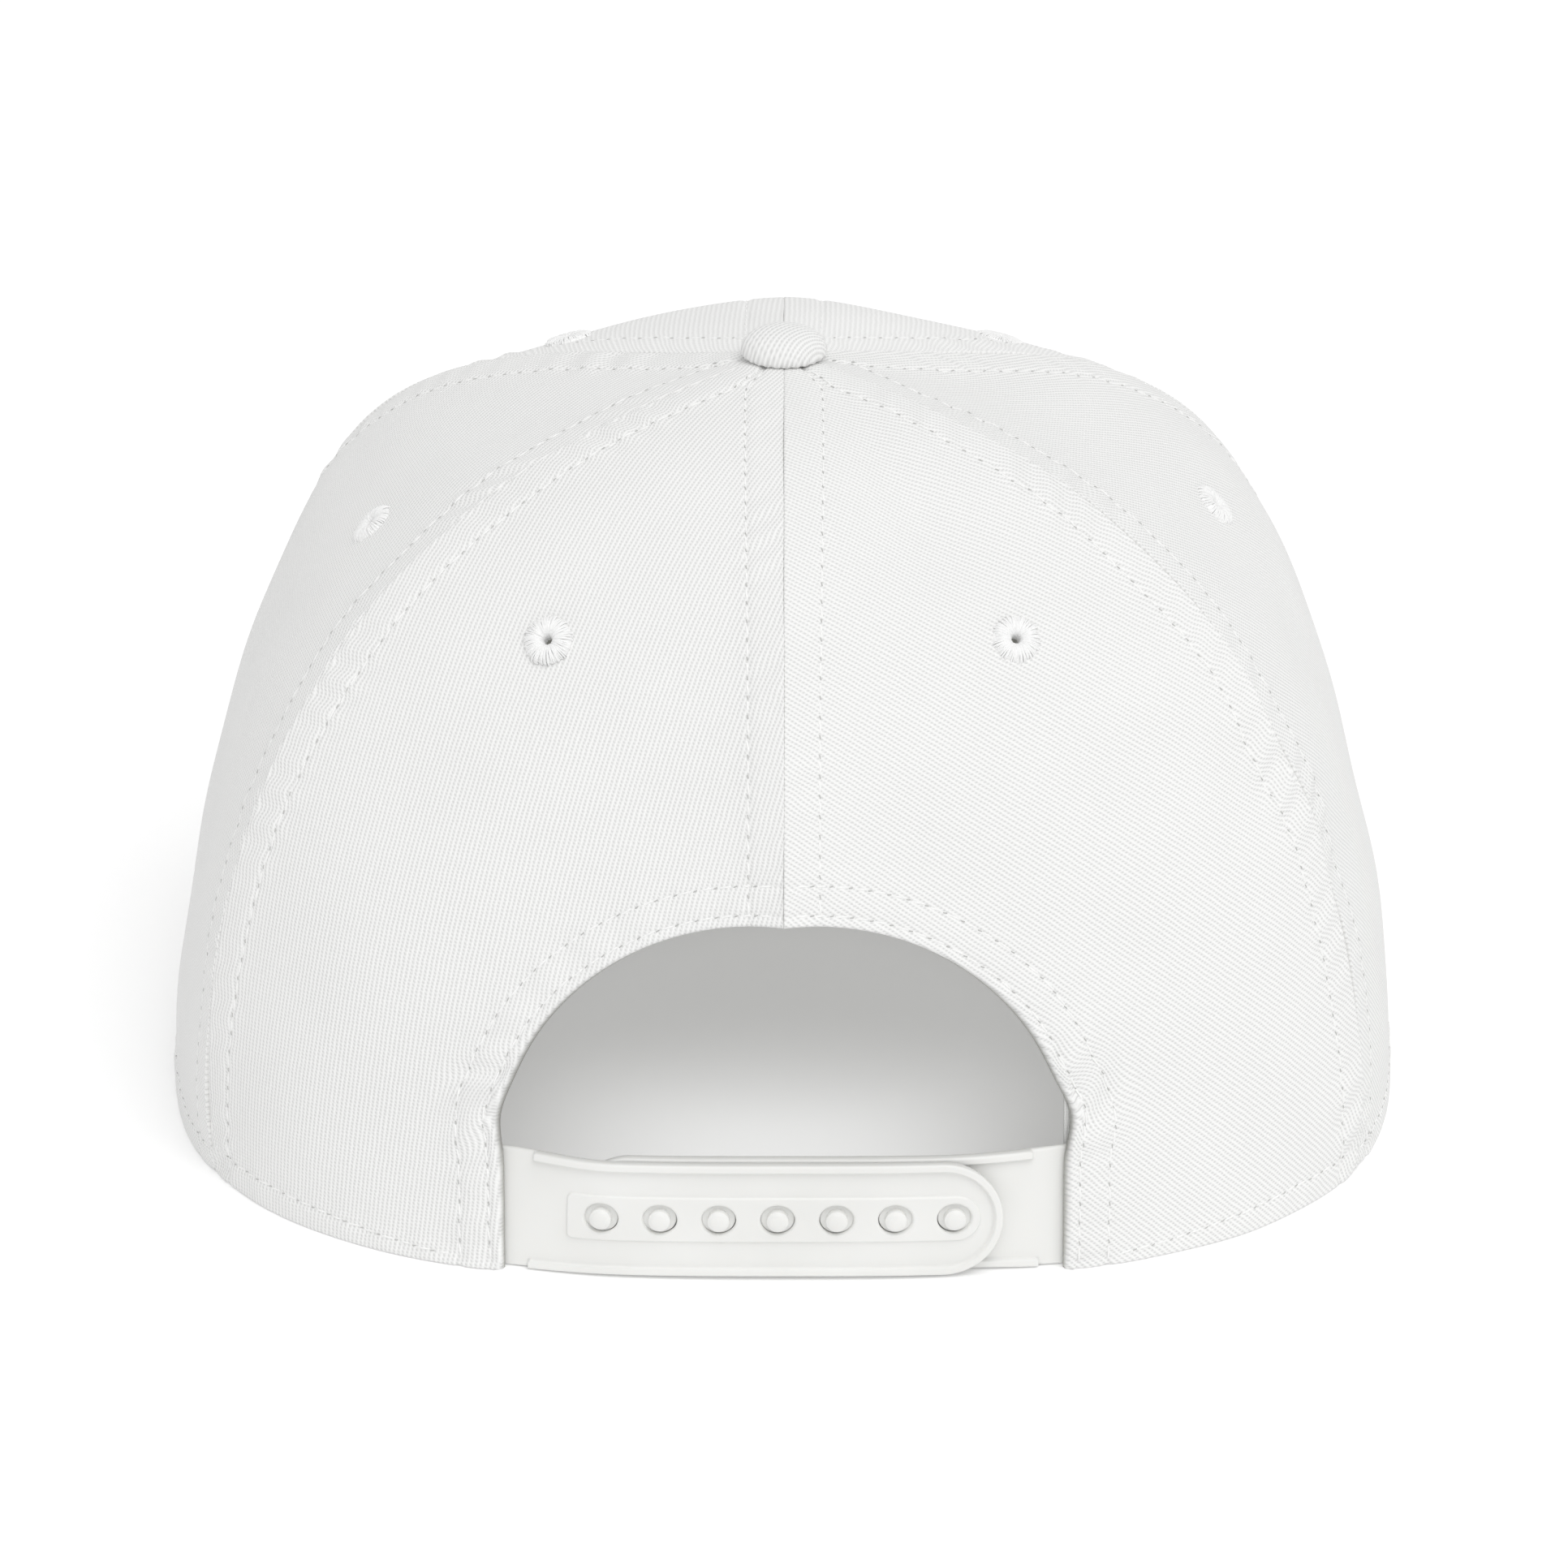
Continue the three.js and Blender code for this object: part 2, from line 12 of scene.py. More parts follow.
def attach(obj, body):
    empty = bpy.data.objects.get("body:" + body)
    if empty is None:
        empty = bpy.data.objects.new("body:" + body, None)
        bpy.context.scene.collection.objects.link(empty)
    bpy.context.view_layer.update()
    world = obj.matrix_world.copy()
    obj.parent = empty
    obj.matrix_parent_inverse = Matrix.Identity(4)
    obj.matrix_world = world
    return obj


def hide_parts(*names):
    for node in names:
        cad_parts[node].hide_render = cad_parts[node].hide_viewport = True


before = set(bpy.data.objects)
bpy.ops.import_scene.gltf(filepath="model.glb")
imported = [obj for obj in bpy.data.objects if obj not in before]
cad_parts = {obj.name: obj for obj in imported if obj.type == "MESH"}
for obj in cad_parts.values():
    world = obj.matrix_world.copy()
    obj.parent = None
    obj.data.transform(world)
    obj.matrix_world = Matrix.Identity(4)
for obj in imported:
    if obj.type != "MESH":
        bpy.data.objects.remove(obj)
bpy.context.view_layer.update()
metre = 0.001
pieces = []

# The crown's form: its lines up the four seams from centre back to centre front
crown = {
    "height": 118.2,
    "halfWidth": 100.3,
    "backReach": 90.5,
    "frontReach": 82.5,
    "squareness": 2.67,
    "flatness": 0.62,
    "axis": 31.342,  # the crown's axis lies this far behind the origin
    "lean": (0.045, -0.05, 0.024, 0.101),
    "rise": (0.594, 0.697, 0.82, 0.792),
    "spread": (0.637, 0.572, 0.808, 0.718),
    "swell": (-0.002, -0.023, -0.078, 0.072),
    "seamStep": 60,
    "tipHole": 3.2,
    "tipRise": 1.2,  # under the button, where the folds of six panels meet
    "tipReach": 15,
    "ridgeRound": 8,  # degrees over which the ridge at the centre front is rounded
}

# Soft dents and swells: angle, share of the way up, reach in degrees and in share, depth
dents = [
    (-30, 0.72, 9, 0.13, 1.65),
    (-13, 0.66, 7, 0.12, -0.6),
    (-57, 0.36, 8, 0.06, 1.65),
    (-62, 0.24, 7, 0.05, 1.4),
    (-34, 0.13, 5, 0.06, 0.95),
    (47, 0.42, 11, 0.12, 1.05),
    (138, 0.45, 12, 0.14, 0.95),
]

arch = {
    "halfWidth": 44,
    "spring": 20,
    "height": 55.6,
    "bulge": (0.8, 1.4),  # outward over the strap: on the wearer's left, and on the right
    "bulgeHeight": 24.5,
    "bulgeReach": 4.5,
}
peak = {
    "reach": 70,
    "thickness": 3.2,
    "camber": 6,
    "rootAngle": 64,
    "squareness": 2.5,
    "clearance": 0.3,
    "ease": 12,
    "wall": 2.0,  # of the crown's front panels, which stand on it
    "rows": (5.0, 11.5, 18.0, 24.5, 31.0, 37.5, 44.0, 50.5),  # stitches, from the edge
    "grooveDepth": 0.34,
    "grooveWidth": 0.75,
    "spacing": 1.0,
}


def alongSeams(column, angle):
    values = np.array(crown[column])
    last = len(values) - 1
    ends = np.ones(last + 1)
    ends[[0, -1]] = 0.5
    index = np.arange(last + 1)
    total = 0
    for wave in range(last + 1):
        weight = (ends * values * np.cos(np.pi * wave * index / last)).sum()
        total = total + 2 / last * ends[wave] * weight * np.cos(wave * np.radians(angle))
    return total


def rimRadius(angle):
    back, side = np.cos(np.radians(angle)), np.sin(np.radians(angle))
    reach = np.where(back >= 0, crown["backReach"], crown["frontReach"])
    power = crown["squareness"]
    total = np.abs(back / reach) ** power + np.abs(side / crown["halfWidth"]) ** power
    return total ** (-1 / power)


def crownLine(angle, share):
    """Distance from the crown's axis, and height"""
    rest = 1 - share
    low, high = 3 * rest**2 * share, 3 * rest * share**2
    out = rest**3 + low * (1 - alongSeams("lean", angle)) + high * alongSeams("spread", angle)
    up = low * alongSeams("rise", angle) + high * (1 + alongSeams("swell", angle)) + share**3
    half = np.radians(crown["seamStep"] / 2)
    turn = np.radians(np.abs(angle) % crown["seamStep"]) - half
    fromFront = np.radians(np.abs(180 - np.abs(angle)))
    rounded = np.minimum(half, np.hypot(fromFront, np.radians(crown["ridgeRound"])))
    turn = np.where(fromFront < half, half - rounded, turn)
    flat = 1 - crown["flatness"] * np.sin(np.pi * share) * (1 - np.cos(half) / np.cos(turn))
    away = out * flat * rimRadius(angle)
    heaped = crown["tipRise"] * np.exp(-((away / crown["tipReach"]) ** 2))
    return away, up * crown["height"] + heaped


def dentDepth(angle, share):
    total = 0
    for centre, middle, wide, high, depth in dents:
        around = (angle - centre + 180) % 360 - 180
        total = total + depth * np.exp(-((around / wide) ** 2) - ((share - middle) / high) ** 2)
    return total


def crownPoint(angle, share, inset=0, level=False):
    step = 0.002
    radius, height = crownLine(angle, share)
    above = crownLine(angle, np.minimum(1, share + step))
    below = crownLine(angle, np.maximum(0, share - step))
    outward, upward = above[1] - below[1], below[0] - above[0]
    length = np.hypot(outward, upward)
    outward, upward = outward / length, upward / length
    sunk = inset + dentDepth(angle, share)
    if level:
        radius = radius - sunk / outward
    else:
        radius, height = radius - sunk * outward, height - sunk * upward
    turn = np.radians(angle)
    place = (radius * np.sin(turn), radius * np.cos(turn) + crown["axis"], height)
    return np.stack(np.broadcast_arrays(*place), axis=-1)


def crownNormal(angle, share):
    along = crownPoint(angle - 0.4, share) - crownPoint(angle + 0.4, share)
    up = crownPoint(angle, np.minimum(1, share + 0.003)) - crownPoint(angle, share - 0.003)
    normal = np.cross(along, up)
    return normal / np.linalg.norm(normal, axis=-1, keepdims=True)


def shareAt(column, angle, value):
    """Share of the way up at which the crown's line reaches a height, or a distance in"""
    low, high = np.zeros(np.shape(angle)), np.ones(np.shape(angle))
    sign = 1 if column == 1 else -1
    for _ in range(40):
        middle = (low + high) / 2
        under = sign * crownLine(angle, middle)[column] < sign * value
        low, high = np.where(under, middle, low), np.where(under, high, middle)
    return (low + high) / 2


def smooth(value):
    value = np.clip(value, 0, 1)
    return value * value * (3 - 2 * value)


def mix(start, end, share):
    return start + (end - start) * share


def softWaves(seed, count, shortest, longest):
    """A smooth random surface: waves of the given lengths in random directions"""
    chance = np.random.default_rng(seed)
    turns = chance.uniform(0, 2 * np.pi, count)
    lengths = chance.uniform(shortest, longest, count)
    phases = chance.uniform(0, 2 * np.pi, count)

    def height(x, y):
        total = 0
        for turn, length, phase in zip(turns, lengths, phases):
            run = x * np.cos(turn) + y * np.sin(turn)
            total = total + np.sin(2 * np.pi * run / length + phase)
        return total / math.sqrt(count)

    return height


# Flat patches: points in a plane, triangulated, then laid on their surface


def resample(line, spacing):
    line = np.asarray(line, float)
    run = np.concatenate([[0], np.cumsum(np.linalg.norm(np.diff(line, axis=0), axis=1))])
    count = max(2, round(run[-1] / spacing))
    stops = np.linspace(0, run[-1], count + 1)
    return np.stack([np.interp(stops, run, column) for column in line.T], axis=1)


def leftOf(line, closed=False):
    if closed:
        along = np.roll(line, -1, axis=0) - np.roll(line, 1, axis=0)
    else:
        along = np.gradient(line, axis=0)
    along /= np.linalg.norm(along, axis=1, keepdims=True)
    return np.stack([-along[:, 1], along[:, 0]], axis=1)


def nearest(line, points):
    """Distance of each point from a line, and how far along the line it is"""
    spacing = 0.25
    dense = resample(line, spacing)
    spacing = np.linalg.norm(dense[1] - dense[0])
    tree = kdtree.KDTree(len(dense))
    for index, (x, y) in enumerate(dense):
        tree.insert((x, y, 0), index)
    tree.balance()
    index = np.array([tree.find((x, y, 0))[1] for x, y in points])
    side = leftOf(dense)[index]
    away = points - dense[index]
    along = np.clip(away[:, 0] * side[:, 1] - away[:, 1] * side[:, 0], -spacing, spacing)
    square = (away**2).sum(axis=1)
    return np.sqrt(np.maximum(square - along**2, 0)), index * spacing + along


def inside(outline, points):
    x, y = points.T
    found = np.zeros(len(points), bool)
    for (x1, y1), (x2, y2) in zip(outline, np.roll(outline, -1, axis=0)):
        crosses = (y1 > y) != (y2 > y)
        found ^= crosses & (x < (x2 - x1) * (y - y1) / (y2 - y1 + 1e-12) + x1)
    return found


def patch(sides, spacing, fill, holes=(), squeeze=None, apart=0.16, marks=()):
    """Triangulates the area inside sides, each a line and the distances of its rows of points"""
    sides = [(resample(line, closer[0] if closer else spacing), away) for line, away, *closer in sides]
    outline = np.concatenate([line[:-1] for line, _ in sides])
    loops = [outline, *[hole for hole, _ in holes]]
    rows = []
    for base, distances in sides:
        share = squeeze(base) if squeeze else np.ones(len(base))
        rows += [base + leftOf(base) * (share * away)[:, None] for away in distances]
    for hole, distances in holes:
        rows += [hole + leftOf(hole, True) * away for away in distances]
    for line, distances in marks:
        base = resample(line, spacing)
        rows += [base + leftOf(base) * away for away in distances]
    border = [np.concatenate([loop, loop[:1]]) for loop in loops]
    candidates = np.concatenate(rows)
    candidates = candidates[inside(outline, candidates)]
    for hole in loops[1:]:
        candidates = candidates[~inside(hole, candidates)]
    for line in border:
        candidates = candidates[nearest(line, candidates)[0] > 0.55 * apart]
    _, kept = np.unique(np.round(candidates / apart), axis=0, return_index=True)
    candidates = candidates[np.sort(kept)]
    low, high = outline.min(axis=0), outline.max(axis=0)
    across, up = np.arange(low[0], high[0], fill), np.arange(low[1], high[1], fill * 0.87)
    mesh = np.stack(np.meshgrid(across, up, indexing="ij"), axis=-1)
    mesh[:, 1::2, 0] += fill / 2
    middle = mesh.reshape(-1, 2)
    middle = middle[inside(outline, middle)]
    for hole in loops[1:]:
        middle = middle[~inside(hole, middle)]
    crowd = kdtree.KDTree(len(candidates) + sum(map(len, loops)))
    for index, (x, y) in enumerate(np.concatenate([candidates, *loops])):
        crowd.insert((x, y, 0), index)
    crowd.balance()
    clear = np.array([crowd.find((x, y, 0))[2] > 0.62 * fill for x, y in middle], bool)
    points = np.concatenate([*loops, candidates, middle[clear]])
    starts = np.cumsum([0, *map(len, loops)])
    faces = [list(range(start, end)) for start, end in zip(starts, starts[1:])]
    made = delaunay_2d_cdt([Vector(point) for point in points], [], faces, 1, 1e-7)
    flat = np.array([tuple(point) for point in made[0]])
    corners = np.array([face for face in made[2] if len(face) == 3])
    for hole in loops[1:]:
        corners = corners[~inside(hole, flat[corners].mean(axis=1))]
    place = {given: index for index, givens in enumerate(made[3]) for given in givens}
    return flat, corners, [[place[index] for index in face] for face in faces]


def makePiece(name, points, faces, uv=None):
    mesh = bpy.data.meshes.new(name)
    mesh.from_pydata((np.asarray(points) * metre).tolist(), [], [tuple(face) for face in faces])
    if uv is not None:
        corners = np.zeros(len(mesh.loops), np.int32)
        mesh.loops.foreach_get("vertex_index", corners)
        layer = mesh.uv_layers.new(name="cloth")
        layer.data.foreach_set("uv", np.asarray(uv)[corners].astype(np.float32).ravel())
    mesh.shade_smooth()
    piece = bpy.data.objects.new(name, mesh)
    bpy.context.collection.objects.link(piece)
    return piece


def makeSheet(name, front, back, frontPlace, backPlace, turn=0, drift=0):
    """A closed sheet from a front and a back patch that share their outline and holes"""
    flat, corners, loops = front
    backFlat, backCorners, backLoops = back
    points = np.concatenate([frontPlace(flat), backPlace(backFlat)])
    points[:, 2] = np.maximum(points[:, 2], 0)  # hems that reach the floor lie flat on it
    faces = corners.tolist() + (backCorners[:, ::-1] + len(flat)).tolist()
    for loop, backLoop in zip(loops, backLoops):
        ends = zip(loop, loop[1:] + loop[:1], backLoop, backLoop[1:] + backLoop[:1])
        faces += [(b, a, c + len(flat), d + len(flat)) for a, b, c, d in ends]
    both = np.concatenate([flat, backFlat])
    rib = math.radians(turn)
    across = both[:, 0] * math.sin(rib) - both[:, 1] * math.cos(rib)
    across[: len(flat)] += drift
    along = both[:, 0] * math.cos(rib) + both[:, 1] * math.sin(rib)
    piece = makePiece(name, points, faces, np.stack([across, along], axis=1))
    # marks the back patch as inner, which the cloth's material paints a plain darker grey as painted shade
    inner = np.repeat([0.0, 1.0], [len(flat), len(backFlat)])
    piece.data.attributes.new("inner", "FLOAT", "POINT").data.foreach_set("value", inner)
    return piece


def lathe(profile, sides):
    """Points and faces of a profile of (distance, height) turned round the z axis"""
    turns = np.arange(sides) * 2 * np.pi / sides
    away, up = np.array(profile, float).T
    points = np.stack(
        [np.outer(np.cos(turns), away), np.outer(np.sin(turns), away), np.tile(up, (sides, 1))],
        axis=-1,
    ).reshape(-1, 3)
    count = len(profile)
    faces = []
    for side in range(sides):
        here, there = side * count, (side + 1) % sides * count
        for row in range(count - 1):
            faces.append((here + row, there + row, there + row + 1, here + row + 1))
    return points, faces


def standing(normal, point, along=(1, 0, 0)):
    """Matrix that stands a shape on a surface, with its x axis near a direction"""
    up = Vector(normal).normalized()
    side = up.cross(Vector(along)).normalized()
    turn = Matrix((side.cross(up), side, up)).transposed()
    return Matrix.Translation(Vector(point)) @ turn.to_4x4()


def moved(points, matrix):
    rows = np.array(matrix)
    return np.asarray(points) @ rows[:3, :3].T + rows[:3, 3]


def settle(piece, material, slot, *nodes):
    """Gives a finished piece its material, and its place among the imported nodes"""
    piece.data.materials.clear()
    piece.data.materials.append(material)
    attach(piece, "root")
    if nodes:
        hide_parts(*nodes)
    pieces.append(piece)


# Node trees


def addNode(tree, kind, inputs=None, **settings):
    node = tree.nodes.new(kind)
    for key, value in settings.items():
        setattr(node, key, value)
    for key, value in (inputs or {}).items():
        if isinstance(value, bpy.types.NodeSocket):
            tree.links.new(value, node.inputs[key])
        else:
            node.inputs[key].default_value = value
    return node


def linear(hexColour):
    parts = [int(hexColour[i : i + 2], 16) / 255 for i in (1, 3, 5)]
    return (*[p / 12.92 if p <= 0.04045 else ((p + 0.055) / 1.055) ** 2.4 for p in parts], 1)


def newMaterial(name):
    material = bpy.data.materials.new(name)
    material.use_nodes = True
    tree = material.node_tree
    shader = tree.nodes["Principled BSDF"]
    shader.inputs["Specular IOR Level"].default_value = 0.5
    return material, tree, shader


# Bleached cotton twill, woven: matt, in fine diagonal ribs whose floats lie like the strands
# of a rope, with painted shade darkening the grooves between them
twill = {
    "colour": "#f4f4f3",
    # groove: the dark end of the colour mix, painted shade in the grooves together with the cloth's own uneven
    # fibre tone
    "groove": "#d3d3d2",
    # inside: plain darker grey for faces marked inner, painted shade of the dim hollow inside the crown and under
    # the peak
    "inside": "#c3c3bd",
    "ribPitch": 0.76,
    "floatPitch": 0.48,
    "floatTurn": -58,
    "ribDepth": 0.1,
    "dash": 0.6,  # how far a float crosses the groove beside it
    "thinness": 1.1,
    "roughness": 0.9,
    "sheen": 0.08,
}


def cottonTwill(name, settings):
    material, tree, shader = newMaterial(name)
    place = addNode(tree, "ShaderNodeUVMap", uv_map="cloth").outputs["UV"]
    # a wave texture's period is 2 pi / 20 of its unit at scale 1
    period = 2 * math.pi / 20
    ribs = addNode(
        tree,
        "ShaderNodeTexWave",
        {
            "Vector": place,
            "Scale": period / settings["ribPitch"],
            "Distortion": 1.1,
            "Detail": 2,
            "Detail Scale": 0.9,
        },
        bands_direction="X",
    )
    turned = addNode(
        tree,
        "ShaderNodeMapping",
        {"Vector": place, "Rotation": (0, 0, math.radians(settings["floatTurn"]))},
    )
    floats = addNode(
        tree,
        "ShaderNodeTexWave",
        {
            "Vector": turned.outputs["Vector"],
            "Scale": period / settings["floatPitch"],
            "Distortion": 1.6,
            "Detail": 2,
            "Detail Scale": 1.2,
        },
        bands_direction="X",
    )
    lift = addNode(
        tree,
        "ShaderNodeMath",
        {0: floats.outputs["Fac"], 1: 0.45, 2: 0.55},
        operation="MULTIPLY_ADD",
    )
    low = addNode(tree, "ShaderNodeMath", {0: 1.0, 1: ribs.outputs["Fac"]}, operation="SUBTRACT")
    gap = addNode(
        tree,
        "ShaderNodeMath",
        {0: floats.outputs["Fac"], 1: -settings["dash"], 2: 1.0},
        operation="MULTIPLY_ADD",
    )
    # painted shade: the colour darkens in the grooves between the ribs, where they would lie in shadow
    paintedGrooveShade = addNode(
        tree,
        "ShaderNodeMath",
        {0: low.outputs["Value"], 1: gap.outputs["Value"]},
        operation="MULTIPLY",
    )
    thin = addNode(
        tree,
        "ShaderNodeMath",
        {0: paintedGrooveShade.outputs["Value"], 1: settings["thinness"]},
        operation="POWER",
    )
    light = addNode(tree, "ShaderNodeMath", {0: 0.5, 1: thin.outputs["Value"]}, operation="SUBTRACT")
    height = addNode(
        tree,
        "ShaderNodeMath",
        {0: ribs.outputs["Fac"], 1: lift.outputs["Value"]},
        operation="MULTIPLY",
    )
    fuzz = addNode(
        tree,
        "ShaderNodeTexNoise",
        {"Vector": place, "Scale": 4.5, "Detail": 3, "Roughness": 0.7},
    )
    fibres = addNode(
        tree,
        "ShaderNodeMath",
        {0: fuzz.outputs["Fac"], 1: 0.9, 2: light.outputs["Value"]},
        operation="MULTIPLY_ADD",
    )
    surface = addNode(
        tree,
        "ShaderNodeMath",
        {0: fuzz.outputs["Fac"], 1: 0.35, 2: height.outputs["Value"]},
        operation="MULTIPLY_ADD",
    )
    patchy = addNode(
        tree,
        "ShaderNodeTexNoise",
        {"Vector": place, "Scale": 0.06, "Detail": 2},
    )
    shade = addNode(
        tree,
        "ShaderNodeMath",
        {0: patchy.outputs["Fac"], 1: 0.16, 2: fibres.outputs["Value"]},
        operation="MULTIPLY_ADD",
    )
    colour = addNode(
        tree,
        "ShaderNodeMix",
        {0: shade.outputs["Value"], 6: linear(settings["groove"]), 7: linear(settings["colour"])},
        data_type="RGBA",
    )
    bump = addNode(
        tree,
        "ShaderNodeBump",
        {
            "Strength": 1.0,
            "Distance": settings["ribDepth"] * metre,
            "Height": surface.outputs["Value"],
        },
    )
    # painted shade: faces marked inner take the plain darker inside colour
    inner = addNode(tree, "ShaderNodeAttribute", attribute_name="inner")
    sides = addNode(
        tree,
        "ShaderNodeMix",
        {0: inner.outputs["Fac"], 6: colour.outputs[2], 7: linear(settings["inside"])},
        data_type="RGBA",
    )
    tree.links.new(sides.outputs[2], shader.inputs["Base Color"])
    tree.links.new(bump.outputs["Normal"], shader.inputs["Normal"])
    shader.inputs["Roughness"].default_value = settings["roughness"]
    shader.inputs["Specular IOR Level"].default_value = 0.2
    shader.inputs["Sheen Weight"].default_value = settings["sheen"]
    shader.inputs["Sheen Roughness"].default_value = 0.5
    return material


# Spun polyester thread, twisted: a little brighter and smoother than the cloth
stitchThread = {"colour": "#fdfdfc", "shade": "#e9e9e8", "roughness": 0.55, "twistPitch": 0.5, "twistDepth": 0.04}


def twistedThread(name, settings):
    material, tree, shader = newMaterial(name)
    place = addNode(tree, "ShaderNodeTexCoord").outputs["Object"]
    fibres = addNode(
        tree,
        "ShaderNodeTexNoise",
        {"Vector": place, "Scale": 1 / (settings["twistPitch"] * metre), "Detail": 2},
    )
    bump = addNode(
        tree,
        "ShaderNodeBump",
        {
            "Strength": 1.0,
            "Distance": settings["twistDepth"] * metre,
            "Height": fibres.outputs["Fac"],
        },
    )
    shade = addNode(
        tree,
        "ShaderNodeMix",
        {0: fibres.outputs["Fac"], 6: linear(settings["shade"]), 7: linear(settings["colour"])},
        data_type="RGBA",
    )
    tree.links.new(shade.outputs[2], shader.inputs["Base Color"])
    tree.links.new(bump.outputs["Normal"], shader.inputs["Normal"])
    shader.inputs["Roughness"].default_value = settings["roughness"]
    return material


# Polyethylene strap, injection moulded: a satin, slightly waxy white with a faint orange peel
strapPlastic = {"colour": "#efefed", "roughness": 0.42, "peelSize": 0.9, "peelDepth": 0.008}


def mouldedPolyethylene(name, settings):
    material, tree, shader = newMaterial(name)
    place = addNode(tree, "ShaderNodeTexCoord").outputs["Object"]
    peel = addNode(
        tree,
        "ShaderNodeTexNoise",
        {"Vector": place, "Scale": 1 / (settings["peelSize"] * metre), "Detail": 2},
    )
    cloud = addNode(
        tree,
        "ShaderNodeTexNoise",
        {"Vector": place, "Scale": 60, "Detail": 2},
    )
    shade = addNode(
        tree,
        "ShaderNodeMix",
        {0: cloud.outputs["Fac"], 6: linear("#e4e4e1"), 7: linear(settings["colour"])},
        data_type="RGBA",
    )
    gloss = addNode(
        tree,
        "ShaderNodeMapRange",
        {
            0: cloud.outputs["Fac"],
            3: settings["roughness"] - 0.05,
            4: settings["roughness"] + 0.07,
        },
    )
    bump = addNode(
        tree,
        "ShaderNodeBump",
        {
            "Strength": 1.0,
            "Distance": settings["peelDepth"] * metre,
            "Height": peel.outputs["Fac"],
        },
    )
    tree.links.new(shade.outputs[2], shader.inputs["Base Color"])
    tree.links.new(gloss.outputs["Result"], shader.inputs["Roughness"])
    tree.links.new(bump.outputs["Normal"], shader.inputs["Normal"])
    shader.inputs["IOR"].default_value = 1.5
    shader.inputs["Subsurface Weight"].default_value = 0.12
    shader.inputs["Subsurface Radius"].default_value = (0.0012, 0.0011, 0.001)
    shader.inputs["Subsurface Scale"].default_value = 1.0
    return material


# Each cloth paints shade into its grooves; the backed cloth and the tape paint it lighter
cottonPanels = cottonTwill("bleached_cotton_twill_woven", twill)
cottonCover = cottonTwill("cotton_twill_stretched", {**twill, "dash": 0.45})
cottonBacked = cottonTwill("cotton_twill_backed_with_buckram", {**twill, "groove": "#dededd"})
cottonTape = cottonTwill(
    "cotton_tape_woven",
    {**twill, "groove": "#e2e2df", "floatTurn": 90, "ribDepth": 0.07},
)
polyesterThread = twistedThread("polyester_thread_spun", stitchThread)
rayonThread = twistedThread(
    "rayon_thread_embroidered",
    {**stitchThread, "colour": "#ffffff", "twistPitch": 0.3, "twistDepth": 0.02},
)
# The same thread where it is drawn into the cloth, coloured grey as painted shadow: what shows there is mostly
# shadow
sunkThreadShade = twistedThread(
    "polyester_thread_drawn_in_painted_shade",
    {**stitchThread, "colour": "#c6c6c4", "shade": "#b6b6b4"},
)
polyethylene = mouldedPolyethylene("polyethylene_injection_moulded", strapPlastic)

# Stitches: straight paths on the cloth that become rows of thread
stitch = {
    "pitch": 3.1,
    "length": 2.75,
    "radius": 0.17,
    "rise": 0.26,
    "dip": 0.4,
    "sides": 6,
    "bends": 5,
    "wander": 3,
    "slant": 5,
}
# Where the threads of two stitches pull into the needle's hole, small grey pits of painted shade stand for the
# shadow in the hole
needleHoleShade = {**stitch, "length": 0.6, "radius": 0.09, "rise": 0.06, "dip": 0.08, "slant": 14}


